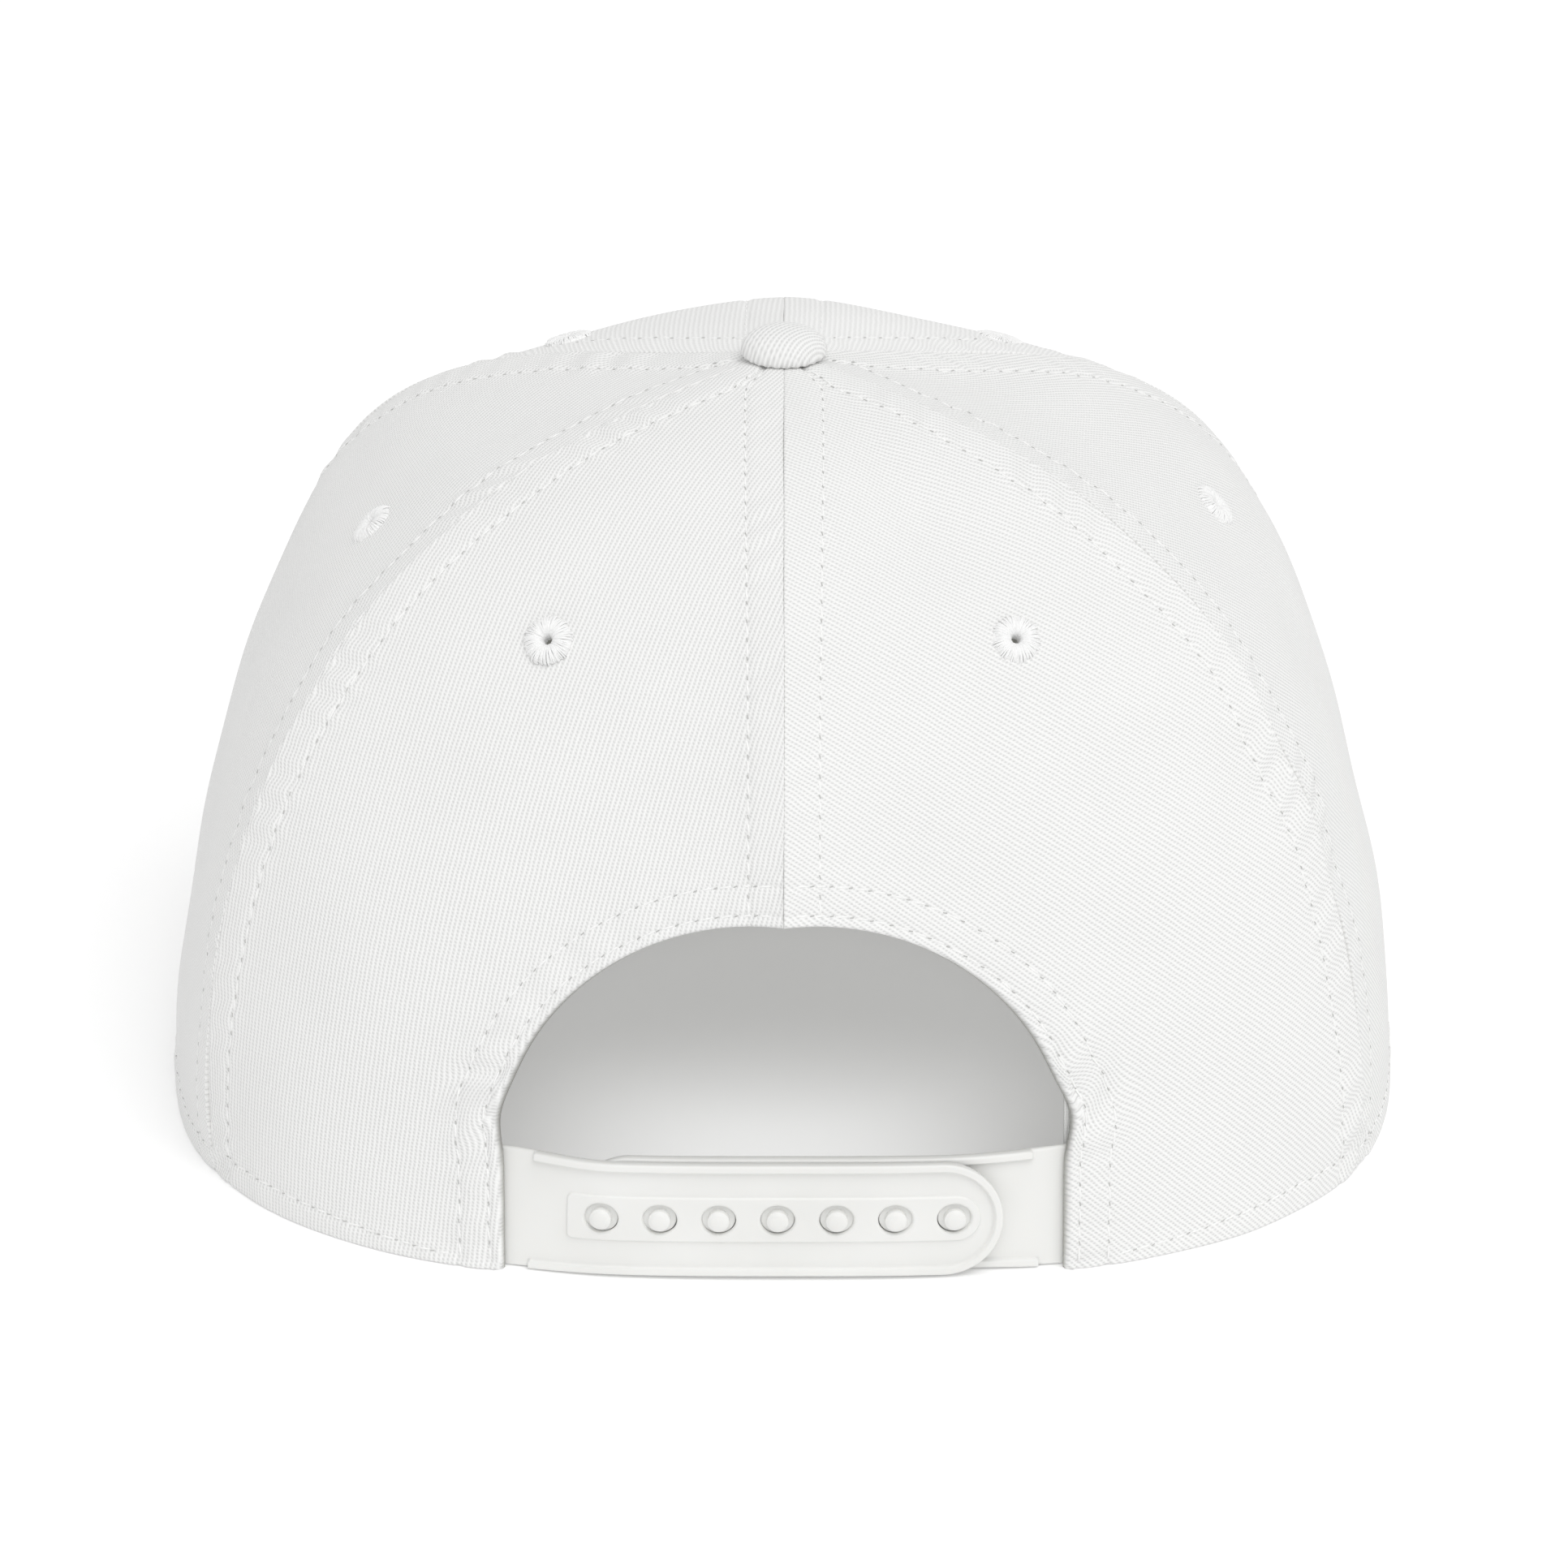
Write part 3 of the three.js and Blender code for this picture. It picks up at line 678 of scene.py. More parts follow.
def makeStitchTree():
    tree = bpy.data.node_groups.new("rows_of_stitches", "GeometryNodeTree")
    ports = tree.interface
    ports.new_socket("Geometry", in_out="OUTPUT", socket_type="NodeSocketGeometry")
    ports.new_socket("Geometry", in_out="INPUT", socket_type="NodeSocketGeometry")
    for name in ("Length", "Radius", "Rise", "Dip", "Wander", "Slant"):
        ports.new_socket(name, in_out="INPUT", socket_type="NodeSocketFloat")
    ports.new_socket("Material", in_out="INPUT", socket_type="NodeSocketMaterial")
    given = addNode(tree, "NodeGroupInput").outputs
    half = addNode(tree, "ShaderNodeMath", {0: given["Length"], 1: 0.5}, operation="MULTIPLY")
    back = addNode(tree, "ShaderNodeMath", {0: given["Length"], 1: -0.5}, operation="MULTIPLY")
    down = addNode(tree, "ShaderNodeMath", {0: given["Dip"], 1: -1}, operation="MULTIPLY")
    start = addNode(
        tree, "ShaderNodeCombineXYZ", {"X": back.outputs[0], "Z": down.outputs[0]}
    )
    end = addNode(
        tree, "ShaderNodeCombineXYZ", {"X": half.outputs[0], "Z": down.outputs[0]}
    )
    top = addNode(tree, "ShaderNodeCombineXYZ", {"Z": given["Rise"]})
    bow = addNode(
        tree,
        "GeometryNodeCurveQuadraticBezier",
        {
            "Resolution": stitch["bends"],
            "Start": start.outputs[0],
            "Middle": top.outputs[0],
            "End": end.outputs[0],
        },
    )
    section = addNode(
        tree,
        "GeometryNodeCurvePrimitiveCircle",
        {"Resolution": stitch["sides"], "Radius": given["Radius"]},
    )
    thread = addNode(
        tree,
        "GeometryNodeCurveToMesh",
        {"Curve": bow.outputs[0], "Profile Curve": section.outputs[0], "Fill Caps": True},
    )
    up = addNode(tree, "GeometryNodeInputNamedAttribute", {"Name": "up"}, data_type="FLOAT_VECTOR")
    run = addNode(tree, "GeometryNodeInputNamedAttribute", {"Name": "run"}, data_type="FLOAT_VECTOR")
    stood = addNode(
        tree, "FunctionNodeAlignRotationToVector", {"Vector": up.outputs[0]}, axis="Z"
    )
    along = addNode(
        tree,
        "FunctionNodeAlignRotationToVector",
        {
            "Rotation": stood.outputs[0],
            "Vector": run.outputs[0],
        },
        axis="X",
        pivot_axis="Z",
    )
    wander = addNode(tree, "ShaderNodeMath", {0: given["Wander"], 1: -1}, operation="MULTIPLY")
    chance = addNode(
        tree,
        "FunctionNodeRandomValue",
        {2: wander.outputs[0], 3: given["Wander"], "Seed": 7},
        data_type="FLOAT",
    )
    slant = addNode(tree, "ShaderNodeMath", {0: chance.outputs[1], 1: given["Slant"]})
    sway = addNode(tree, "ShaderNodeCombineXYZ", {"Z": slant.outputs[0]})
    turned = addNode(
        tree,
        "FunctionNodeRotateRotation",
        {
            "Rotation": along.outputs[0],
            "Rotate By": addNode(
                tree, "FunctionNodeEulerToRotation", {0: sway.outputs[0]}
            ).outputs[0],
        },
        rotation_space="LOCAL",
    )
    rows = addNode(
        tree,
        "GeometryNodeInstanceOnPoints",
        {
            "Points": given["Geometry"],
            "Instance": thread.outputs[0],
            "Rotation": turned.outputs[0],
        },
    )
    real = addNode(tree, "GeometryNodeRealizeInstances", {"Geometry": rows.outputs[0]})
    even = addNode(tree, "GeometryNodeSetShadeSmooth", {"Geometry": real.outputs[0]})
    done = addNode(
        tree,
        "GeometryNodeSetMaterial",
        {"Geometry": even.outputs[0], "Material": given["Material"]},
    )
    addNode(tree, "NodeGroupOutput", {0: done.outputs[0]})
    return tree


def evaluated(piece, tree, values):
    """The plain mesh that a tree of nodes makes of a piece"""
    modifier = piece.modifiers.new("nodes", "NODES")
    modifier.node_group = tree
    for item in tree.interface.items_tree:
        if item.in_out == "INPUT" and item.name in values:
            modifier[item.identifier] = values[item.name]
    bpy.context.view_layer.update()
    graph = bpy.context.evaluated_depsgraph_get()
    mesh = bpy.data.meshes.new_from_object(piece.evaluated_get(graph))
    piece.modifiers.clear()
    piece.data = mesh
    return piece


stitchTree = makeStitchTree()


# Rows of stitches along paths, each an array of points and of directions up. With shift 0.5
# they stand between the stitches of a row.
def sewPaths(name, paths, slot, material, shape, shift=0):
    places, ups, runs = [], [], []
    for points, up in paths:
        steps = np.linalg.norm(np.diff(points, axis=0), axis=1)
        cuts = np.flatnonzero(steps > 3)
        for first, last in zip([0, *(cuts + 1)], [*(cuts + 1), len(points)]):
            line, above = points[first:last], up[first:last]
            if len(line) < 4:
                continue
            run = np.concatenate([[0], np.cumsum(np.linalg.norm(np.diff(line, axis=0), axis=1))])
            count = max(1, round(run[-1] / shape["pitch"]))
            stops = (np.arange(count) + 0.5 + shift) * run[-1] / count
            stops = stops[stops < run[-1]]
            along = np.gradient(line, axis=0)
            for rows, column in ((places, line), (ups, above), (runs, along)):
                rows.append(np.stack([np.interp(stops, run, part) for part in column.T], axis=1))
    mesh = bpy.data.meshes.new(name)
    mesh.from_pydata((np.concatenate(places) * metre).tolist(), [], [])
    for key, rows in (("up", ups), ("run", runs)):
        layer = mesh.attributes.new(key, "FLOAT_VECTOR", "POINT")
        layer.data.foreach_set("vector", np.concatenate(rows).ravel())
    piece = bpy.data.objects.new(name, mesh)
    bpy.context.collection.objects.link(piece)
    sizes = {key.capitalize(): shape[key] * metre for key in ("length", "radius", "rise", "dip")}
    turns = {key.capitalize(): math.radians(shape[key]) for key in ("wander", "slant")}
    evaluated(piece, stitchTree, {**sizes, **turns, "Material": material})
    settle(piece, material, slot)


# Crown panels
panel = {
    "spacing": 0.9,  # of the points along edges and stitch rows
    "fill": 1.0,
    "insideFill": 3.5,
    "seamEdge": 0.13,
    "hemEdge": 0.5,
    "ridgeReach": 12,  # of the flat front seam, down from the tip
    "ridgeFade": 10,
    "seamRow": 5.6,
    "seamRowShare": 0.47,  # of the panel's width, where it narrows to the top
    "bandRise": 0.32,
    "grooveDepth": 0.3,
    "grooveWidth": 0.5,
    "archRows": (1.75, 6.5),
    "rimRow": 4.2,
    "rimRowEnd": 1.5,  # at the opening, which the row nears over rimRowEase
    "rimRowEase": 45,
    "slotDepth": 0.1,  # of the centre back seam, pulled in by every rib that ends there
    "slotWidth": 0.2,
    "slotFade": 14,
    "slotPitch": 0.95,
    "puckerPitch": 6.6,
    "hemPucker": 0.16,
    "twist": 0.4,  # of the hem over the strap's ends
    "puckerDrift": 2.4,  # of the ribs in the cloth's plane, for each millimetre of pucker
    "twistDrift": 1.5,
    "eyeletHole": 2.1,
    "softness": 0.3,
}
edgeRows = (0.12, 0.28, 0.5, 0.8, 1.15)
panels = [
    {"name": "back_panel_left", "from": 0, "to": 60, "rib": 88, "wall": 1.6, "seed": 11},
    {"name": "back_panel_right", "from": -60, "to": 0, "rib": 137, "wall": 1.6, "seed": 12},
    {"name": "side_panel_left", "from": 60, "to": 120, "rib": 128, "wall": 1.6, "seed": 13},
    {"name": "side_panel_right", "from": -120, "to": -60, "rib": 132, "wall": 1.6, "seed": 14},
    {"name": "front_panel_left", "from": 120, "to": 180, "rib": 62, "wall": 2.0, "seed": 15},
    {"name": "front_panel_right", "from": -180, "to": -120, "rib": 116, "wall": 2.0, "seed": 16},
]
# By seam: which are sewn flat, and how deep the cloth puckers beside each
flatSeams = (180, -180)
seamPuckers = {0: 0.08, 60: 0.22, -60: 0.36, 180: 0, -180: 0}
eyelets = [
    {"name": "eyelet_back_left", "angle": 35.5, "share": 0.535},
    {"name": "eyelet_back_right", "angle": -35, "share": 0.537},
    {"name": "eyelet_side_left", "angle": 81, "share": 0.545},
    {"name": "eyelet_side_right", "angle": -92.5, "share": 0.522},
    {"name": "eyelet_front_left", "angle": 132, "share": 0.742},
    {"name": "eyelet_front_right", "angle": -132, "share": 0.742},
]

# The peak's outline and the crown's edge over it
cornerAngle = 180 - peak["rootAngle"]
cornerRadius = float(rimRadius(cornerAngle))
peakCorner = (
    cornerRadius * math.sin(math.radians(cornerAngle)),
    cornerRadius * math.cos(math.radians(cornerAngle)),
)


def peakUnder(x):
    return np.maximum(0, peak["camber"] * (1 - (x / peakCorner[0]) ** 2))


def peakTop(x):
    return peak["camber"] * (1 - (x / peakCorner[0]) ** 2) + peak["thickness"]


def edgeHeight(angle):
    fromFront = 180 - np.abs(angle)

    def over(turn):
        return peakTop((rimRadius(turn) - peak["wall"]) * np.sin(np.radians(turn))) + peak["clearance"]

    beside = over(cornerAngle) * (1 - smooth((fromFront - peak["rootAngle"]) / peak["ease"]))
    return np.where(fromFront <= peak["rootAngle"], over(angle), beside)


class Plane:
    """The flat plane of one panel: x to the right as seen from outside, y up its middle"""

    def __init__(self, low, high):
        self.angles = np.linspace(low, high, 121)
        self.shares = np.linspace(0, 1, 241)
        angle, share = np.meshgrid(self.angles, self.shares, indexing="ij")
        points = crownPoint(angle, share)
        across = np.cumsum(np.linalg.norm(np.diff(points, axis=0), axis=2), axis=0)
        across = np.concatenate([np.zeros((1, len(self.shares))), across])
        middle = len(self.angles) // 2
        self.across = across[middle] - across
        up = np.cumsum(np.linalg.norm(np.diff(points[middle], axis=0), axis=1))
        self.up = np.concatenate([[0], up])
        self.width = across[-1]

    def flat(self, angle, share):
        row = np.clip(share * (len(self.shares) - 1), 0, len(self.shares) - 1.001)
        column = (angle - self.angles[0]) / (self.angles[-1] - self.angles[0])
        column = np.clip(column * (len(self.angles) - 1), 0, len(self.angles) - 1.001)
        i, j = column.astype(int), row.astype(int)
        a, b = column - i, row - j
        low = mix(self.across[i, j], self.across[i + 1, j], a)
        high = mix(self.across[i, j + 1], self.across[i + 1, j + 1], a)
        return np.stack([mix(low, high, b), np.interp(share, self.shares, self.up)], axis=1)

    def crown(self, points):
        share = np.interp(points[:, 1], self.up, self.shares)
        row = np.clip(share * (len(self.shares) - 1), 0, len(self.shares) - 1.001)
        j = row.astype(int)
        line = mix(self.across[:, j], self.across[:, j + 1], row - j)
        column = np.clip((line > points[:, 0]).sum(axis=0) - 1, 0, len(self.angles) - 2)
        each = np.arange(len(points))
        start, end = line[column, each], line[column + 1, each]
        part = (points[:, 0] - start) / (end - start)
        return mix(self.angles[column], self.angles[column + 1], part), share

    def widthAt(self, points):
        return np.interp(points[:, 1], self.up, self.width)


def archLine(count=160):
    """The opening's edge from its top down its left side: x beside the centre, and height"""
    turn = np.linspace(0, math.pi / 2, count)
    curve = np.stack(
        [arch["halfWidth"] * np.sin(turn), arch["spring"] + (arch["height"] - arch["spring"]) * np.cos(turn)],
        axis=1,
    )
    return np.concatenate([curve, [[arch["halfWidth"], arch["spring"] / 2], [arch["halfWidth"], 0]]])


def besideCentre(x, height):
    """Angle and share of the crown at x beside the centre back and a height"""
    angle = np.degrees(np.arcsin(x / (crown["backReach"] + 4)))
    for _ in range(12):
        share = shareAt(1, angle, height)
        radius = crownLine(angle, share)[0] - dentDepth(angle, share)
        angle = np.degrees(np.arcsin(np.clip(x / radius, -0.99, 0.99)))
    return angle, shareAt(1, angle, height)


def panelSides(spec, plane):
    """The panel's edges in its plane, anticlockwise from its lower right corner"""
    low, high = spec["from"], spec["to"]
    tip = np.linspace(low, high, 25)
    tip = plane.flat(tip, shareAt(0, tip, crown["tipHole"]))
    seams = {}
    for angle in (low, high):
        bottom = edgeHeight(angle) if angle else arch["height"]
        first = float(shareAt(1, float(angle), float(bottom)))
        last = float(shareAt(0, float(angle), crown["tipHole"]))
        share = np.linspace(first, last, 200)
        seams[angle] = plane.flat(np.full(200, float(angle)), share)
    sides = {"right": seams[low], "tip": tip, "left": seams[high][::-1]}
    if "back" not in spec["name"]:
        angle = np.linspace(high, low, 200)
        sides["rim"] = plane.flat(angle, shareAt(1, angle, edgeHeight(angle)))
        return sides
    sign = 1 if high > 0 else -1
    line = resample(archLine(), 0.5)
    bulge = arch["bulge"][0 if sign > 0 else 1]
    line[:, 0] += bulge * np.exp(-(((line[:, 1] - arch["bulgeHeight"]) / arch["bulgeReach"]) ** 2))
    angle, share = besideCentre(line[:, 0], line[:, 1])
    edge = plane.flat(angle * sign, share)
    corner = angle[-1] * sign
    outer = high if sign > 0 else low
    angle = np.linspace(outer, corner, 120)
    rim = plane.flat(angle, shareAt(1, angle, np.zeros(120)))
    if sign > 0:
        sides["rim"], sides["arch"] = rim, edge[::-1]
    else:
        sides["arch"], sides["rim"] = edge, rim[::-1]
    return sides


def groove(away, depth, width):
    return -depth * np.exp(-((away / width) ** 2))


def rolled(away, radius):
    """How far a folded edge falls away within its radius"""
    short = np.clip(radius - away, 0, radius)
    return -(radius - np.sqrt(radius**2 - short**2))


def panelRelief(spec, plane, sides, points):
    """Height of the cloth over the crown's surface, with its folded edges, doubled bands and
    puckers, and how far its ribs have drifted sideways"""
    row = np.minimum(panel["seamRow"], panel["seamRowShare"] * plane.widthAt(points))
    relief, drift = np.zeros(len(points)), np.zeros(len(points))
    band = np.zeros(len(points))
    for side, seam, phase in (("left", spec["to"], 0.0), ("right", spec["from"], 2.1)):
        away, along = nearest(sides[side], points)
        if seam in flatSeams:
            below = smooth((plane.up[-1] - points[:, 1] - panel["ridgeReach"]) / panel["ridgeFade"])
            relief += below * rolled(away, panel["seamEdge"])
            relief += below * groove(away - row, panel["grooveDepth"], panel["grooveWidth"])
            continue
        relief += rolled(away, panel["seamEdge"])
        band = np.maximum(band, 1 - smooth((away - row) / 1.4))
        relief += groove(away - row, panel["grooveDepth"], panel["grooveWidth"])
        strength = (0.3 + 0.7 * np.sin(along / 23 + seam + phase) ** 2) * np.cos(along / 9.3 + phase)
        turn = 2 * np.pi * along / panel["puckerPitch"] + 1.6 * np.sin(along / 11 + seam)
        wave = np.sin(turn + 0.45 * away + phase)
        swell = smooth(away / 1.2) * (1 - smooth((away - row + 1.0) / 4.5))
        depth = seamPuckers.get(seam, 0.26) * np.minimum(1, row / panel["seamRow"])
        pucker = depth * strength * wave * swell
        relief += pucker
        drift += panel["puckerDrift"] * pucker
        if seam == 0:
            pulled = 0.5 + 0.5 * np.sin(2 * np.pi * along / panel["slotPitch"])
            pulled *= smooth((plane.up[-1] - points[:, 1]) / panel["slotFade"])
            relief -= panel["slotDepth"] * pulled * np.exp(-((away / panel["slotWidth"]) ** 2))
    hems = [("rim", (rimRow(sides, points),))]
    if "arch" in sides:
        hems.append(("arch", panel["archRows"]))
    for side, rows in hems:
        away, along = nearest(sides[side], points)
        relief += rolled(away, panel["hemEdge"])
        band = np.maximum(band, 1 - smooth((away - rows[-1]) / 1.4))
        for distance in rows:
            relief += groove(away - distance, panel["grooveDepth"], panel["grooveWidth"])
        wave = np.sin(2 * np.pi * along / 7.3 + spec["seed"]) * np.sin(along / 17 + spec["seed"])
        swell = smooth(away / 2) * (1 - smooth((away - rows[-1]) / 3))
        relief += panel["hemPucker"] * wave * swell
        if side == "arch":
            over = np.exp(-(((points[:, 1] - arch["bulgeHeight"] - 3) / 9) ** 2))
            ripple = np.sin(2 * np.pi * (along + 0.6 * away) / 5.6 + spec["seed"])
            over *= smooth(away / 1.5) * (1 - smooth((away - 4) / 8))
            relief += panel["twist"] * over * ripple
            drift += panel["twistDrift"] * over * np.sin(2 * np.pi * along / 12 + 0.3 * away)
    waves = softWaves(spec["seed"], 9, 22, 75)
    calm = smooth((plane.up[-1] - points[:, 1]) / 30)
    relief += panel["bandRise"] * band + panel["softness"] * waves(*points.T) * calm
    return relief, drift


def rimRow(sides, points):
    if "arch" not in sides:
        return np.full(len(points), float(panel["rimRow"]))
    near = smooth(nearest(sides["arch"], points)[0] / panel["rimRowEase"])
    return mix(panel["rimRowEnd"], panel["rimRow"], near)


def eyeletPlace(eyelet):
    angle, share = np.array([float(eyelet["angle"])]), np.array([eyelet["share"]])
    return crownPoint(angle, share)[0], crownNormal(angle, share)[0]


def stitchPath(spec, plane, sides, flat):
    angle, share = plane.crown(flat)
    lift = panelRelief(spec, plane, sides, flat)[0] + 0.1
    return crownPoint(angle, share, -lift), crownNormal(angle, share)


def offsetLine(line, away):
    base = resample(line, 0.8)
    return base + leftOf(base) * np.reshape(away, (-1, 1))


def makePanel(spec):
    plane = Plane(spec["from"], spec["to"])
    sides = panelSides(spec, plane)
    near = [panel["seamRow"] + step for step in (-1.0, -0.5, -0.2, 0.2, 0.5, 1.0)]
    rows = {
        "left": (*edgeRows, *near),
        "right": (*edgeRows, *near),
        "tip": edgeRows[:3],
        "rim": (*edgeRows, 2.0, 2.6, 3.2, *[panel["rimRow"] + step for step in (-0.5, 0, 0.5)]),
        "arch": (*edgeRows, *[row + step for row in panel["archRows"] for step in (-0.35, 0, 0.35)]),
    }

    def squeeze(points):
        return np.minimum(1, panel["seamRowShare"] * plane.widthAt(points) / panel["seamRow"])

    own = [eyelet for eyelet in eyelets if spec["from"] < eyelet["angle"] < spec["to"]]
    holes = []
    for eyelet in own:
        centre = plane.flat(np.array([float(eyelet["angle"])]), np.array([eyelet["share"]]))[0]
        turn = -np.linspace(0, 2 * np.pi, 20, endpoint=False)
        ring = centre + panel["eyeletHole"] * np.stack([np.cos(turn), np.sin(turn)], axis=1)
        holes.append((ring, (0.5,)))
    lines = [(line, rows[side], panel["spacing"]) for side, line in sides.items()]
    centre = {0: "right", -60: "left"}.get(spec["from"])
    lines = [
        (line, rows[side], panel["slotPitch"] / 3 if side == centre else panel["spacing"])
        for side, line in sides.items()
    ]
    front = patch(lines, panel["spacing"], panel["fill"], holes, squeeze)
    back = patch(
        [(line, (1.2,), spacing) for line, _, spacing in lines],
        panel["spacing"],
        panel["insideFill"],
        [(hole, (0.8,)) for hole, _ in holes],
    )

    def outside(flat):
        angle, share = plane.crown(flat)
        return crownPoint(angle, share, -panelRelief(spec, plane, sides, flat)[0])

    def within(flat):
        angle, share = plane.crown(flat)
        return crownPoint(angle, share, spec["wall"])

    drift = panelRelief(spec, plane, sides, front[0])[1]
    piece = makeSheet(f"cloth_{spec['name']}", front, back, outside, within, spec["rib"], drift)
    cloth = cottonBacked if "front" in spec["name"] else cottonPanels
    settle(piece, cloth, "crown_twill", spec["name"])
    paths, plain = [], []
    for side in ("left", "right"):
        base = resample(sides[side], 0.8)
        away = np.minimum(panel["seamRow"], panel["seamRowShare"] * plane.widthAt(base))
        flat = base + leftOf(base) * away[:, None]
        clear = inside(np.concatenate(list(sides.values())), flat)
        clear &= nearest(sides["rim"], flat)[0] > 1.0
        clear &= crownLine(*plane.crown(flat))[0] > 7.2
        if "arch" in sides:
            clear &= nearest(sides["arch"], flat)[0] > 1.0
        seam = spec["to"] if side == "left" else spec["from"]
        rows = plain if seam in flatSeams else paths
        rows.append(stitchPath(spec, plane, sides, flat[clear]))
    hems = [("rim", rimRow(sides, resample(sides["rim"], 0.8)))]
    if "arch" in sides:
        hems += [("arch", row) for row in panel["archRows"]]
    for side, distance in hems:
        flat = offsetLine(sides[side], distance)
        clear = inside(np.concatenate(list(sides.values())), flat)
        for other in sides:
            if other != side:
                clear &= nearest(sides[other], flat)[0] > 0.8
        if side == "rim" and "arch" in sides:
            clear &= nearest(sides["arch"], flat)[0] > panel["archRows"][-1] + 0.8
        paths.append(stitchPath(spec, plane, sides, flat[clear]))
    return paths, plain


seamPaths, frontPaths = [], []
for spec in panels:
    paths, plain = makePanel(spec)
    seamPaths += paths
    frontPaths += plain
    print(f"panel {spec['name']}: {len(pieces[-1].data.polygons)} faces")
sewPaths("stitches_crown", seamPaths + frontPaths, "crown_twill", polyesterThread, stitch)
# grey pits between the stitches: painted shade at the needle holes
sewPaths("stitch_ends_painted_shade_crown", seamPaths, "crown_twill", sunkThreadShade, needleHoleShade, 0.5)
print("crown sewn:", len(pieces[-2].data.polygons), "faces")

# Peak
def makePeak():
    count = 240
    share = np.linspace(0, 1, count)
    turn = (share - 0.5) * np.pi
    power = 2 / peak["squareness"]
    reach = crown["frontReach"] + peak["reach"] + peakCorner[1]
    edge = np.stack(
        [
            peakCorner[0] * np.sign(turn) * np.abs(np.sin(turn)) ** power,
            peakCorner[1] - reach * np.cos(turn).clip(0, 1) ** power + crown["axis"],
        ],
        axis=1,
    )
    angle = np.linspace(360 - cornerAngle, cornerAngle, count)
    radius = rimRadius(angle) - peak["wall"]
    root = np.stack(
        [radius * np.sin(np.radians(angle)), radius * np.cos(np.radians(angle)) + crown["axis"]], axis=1
    )
    root = root[::-1]
    ends = [np.stack([edge[-1], root[0]]), np.stack([root[-1], edge[0]])]
    half = peak["thickness"] / 2
    rows = [0.1, 0.3, 0.6, 1.0, 1.5, 2.1]
    for row in peak["rows"]:
        rows += [row - 0.7, row - 0.25, row + 0.25, row + 0.7]
    sides = [(edge, rows), (ends[0], ()), (root, ()), (ends[1], ())]
    made = patch(sides, peak["spacing"], peak["spacing"], squeeze=None)
    waves = softWaves(31, 6, 40, 90)

    def relief(flat):
        away, _ = nearest(edge, flat)
        height = rolled(away, half)
        for row in peak["rows"]:
            height += groove(away - row, peak["grooveDepth"], peak["grooveWidth"])
        return height + 0.12 * waves(*flat.T) * smooth(away / 6)

    def top(flat):
        return np.column_stack([flat, peakTop(flat[:, 0]) + relief(flat)])

    def under(flat):
        level = peakTop(flat[:, 0]) - peak["thickness"] - relief(flat)
        return np.column_stack([flat, np.maximum(level, 0.02)])

    piece = makeSheet("cloth_peak", made, made, top, under, 48)
    settle(piece, cottonPanels, "peak_twill", "peak")
    paths = []
    crownEdge = np.radians(np.linspace(0, 360, 400, endpoint=False))
    outer = rimRadius(np.degrees(crownEdge)) + 0.4
    ring = np.stack(
        [outer * np.sin(crownEdge), outer * np.cos(crownEdge) + crown["axis"]], axis=1
    )
    outline = np.concatenate([edge, root])
    for row in peak["rows"]:
        flat = resample(edge, 0.8)
        flat = flat + leftOf(flat) * row
        onPeak = inside(outline, flat) & (nearest(edge, flat)[0] > row - 0.2)
        for shape, sign in ((top, 1), (under, -1)):
            clear = onPeak & ~inside(ring, flat) if sign > 0 else onPeak
            place = shape(flat[clear])
            place[:, 2] = np.maximum(place[:, 2] + 0.1 * sign, stitch["rise"] + stitch["radius"])
            lean = 2 * peak["camber"] * place[:, 0] / peakCorner[0] ** 2
            up = np.column_stack([lean * sign, np.zeros(len(place)), np.full(len(place), float(sign))])
            paths.append((place, up))
    sewPaths("stitches_peak", paths, "peak_twill", polyesterThread, stitch)


makePeak()
print("peak:", len(pieces[-2].data.polygons), "and", len(pieces[-1].data.polygons), "faces")

# Covered button
button = {
    "radius": 6.9,
    "edge": 0.5,
    "dome": 3.7,
    "steepness": 0.72,
    "pulledTo": (-8.5, 7.0, -1.5),
    "clearance": -0.1,
    "shankRadius": 2.4,
    "shankLength": 5,
    "gathers": 26,
    "gatherDepth": 0.1,
}


def makeButton():
    def edgeRise(angle):
        share = shareAt(0, angle, button["radius"])
        return crownPoint(angle, share)[..., 2] - crown["height"]

    around = np.arange(0, 361, 30.0)
    tip = float(edgeRise(180.0) - edgeRise(0.0)) / (4 * button["radius"])
    over = (edgeRise(around) + tip * button["radius"] * np.cos(np.radians(around))).max()
    over = max(0, float(over))
    arc = np.linspace(0, math.pi / 2, 30)
    profile = [(0, -button["shankLength"]), (button["shankRadius"], -button["shankLength"])]
    profile += [(button["shankRadius"], 0.0), (button["radius"] - 1.4, 0.0), (button["radius"] - 0.7, 0.05)]
    profile += [(button["radius"] - 0.2, 0.12), (button["radius"], button["edge"])]
    profile += [
        (button["radius"] * math.cos(t) ** button["steepness"], button["edge"] + button["dome"] * math.sin(t))
        for t in arc[1:-1]
    ]
    profile += [(0.001, button["edge"] + button["dome"])]
    points, faces = lathe(profile, 96)
    away = np.hypot(points[:, 0], points[:, 1])
    turn = np.arctan2(points[:, 1], points[:, 0])
    pulled = smooth((away - 4.2) / 2.6) * (points[:, 2] > 0)
    points[:, 2] += button["gatherDepth"] * np.sin(button["gathers"] * turn) * pulled
    # the cloth is pulled round the button, so its ribs run in arcs
    offset = points - np.array(button["pulledTo"])
    reach = np.linalg.norm(offset, axis=1)
    uv = np.stack([reach, np.arctan2(offset[:, 1], offset[:, 0]) * button["radius"]], axis=1)
    place = (0, crown["axis"], crown["height"] + over + button["clearance"])
    points = moved(points, standing((0, tip, 1), place))
    piece = makePiece("cloth_top_button", points, faces, uv)
    settle(piece, cottonCover, "button_twill", "top_button")


makeButton()
print("button made")

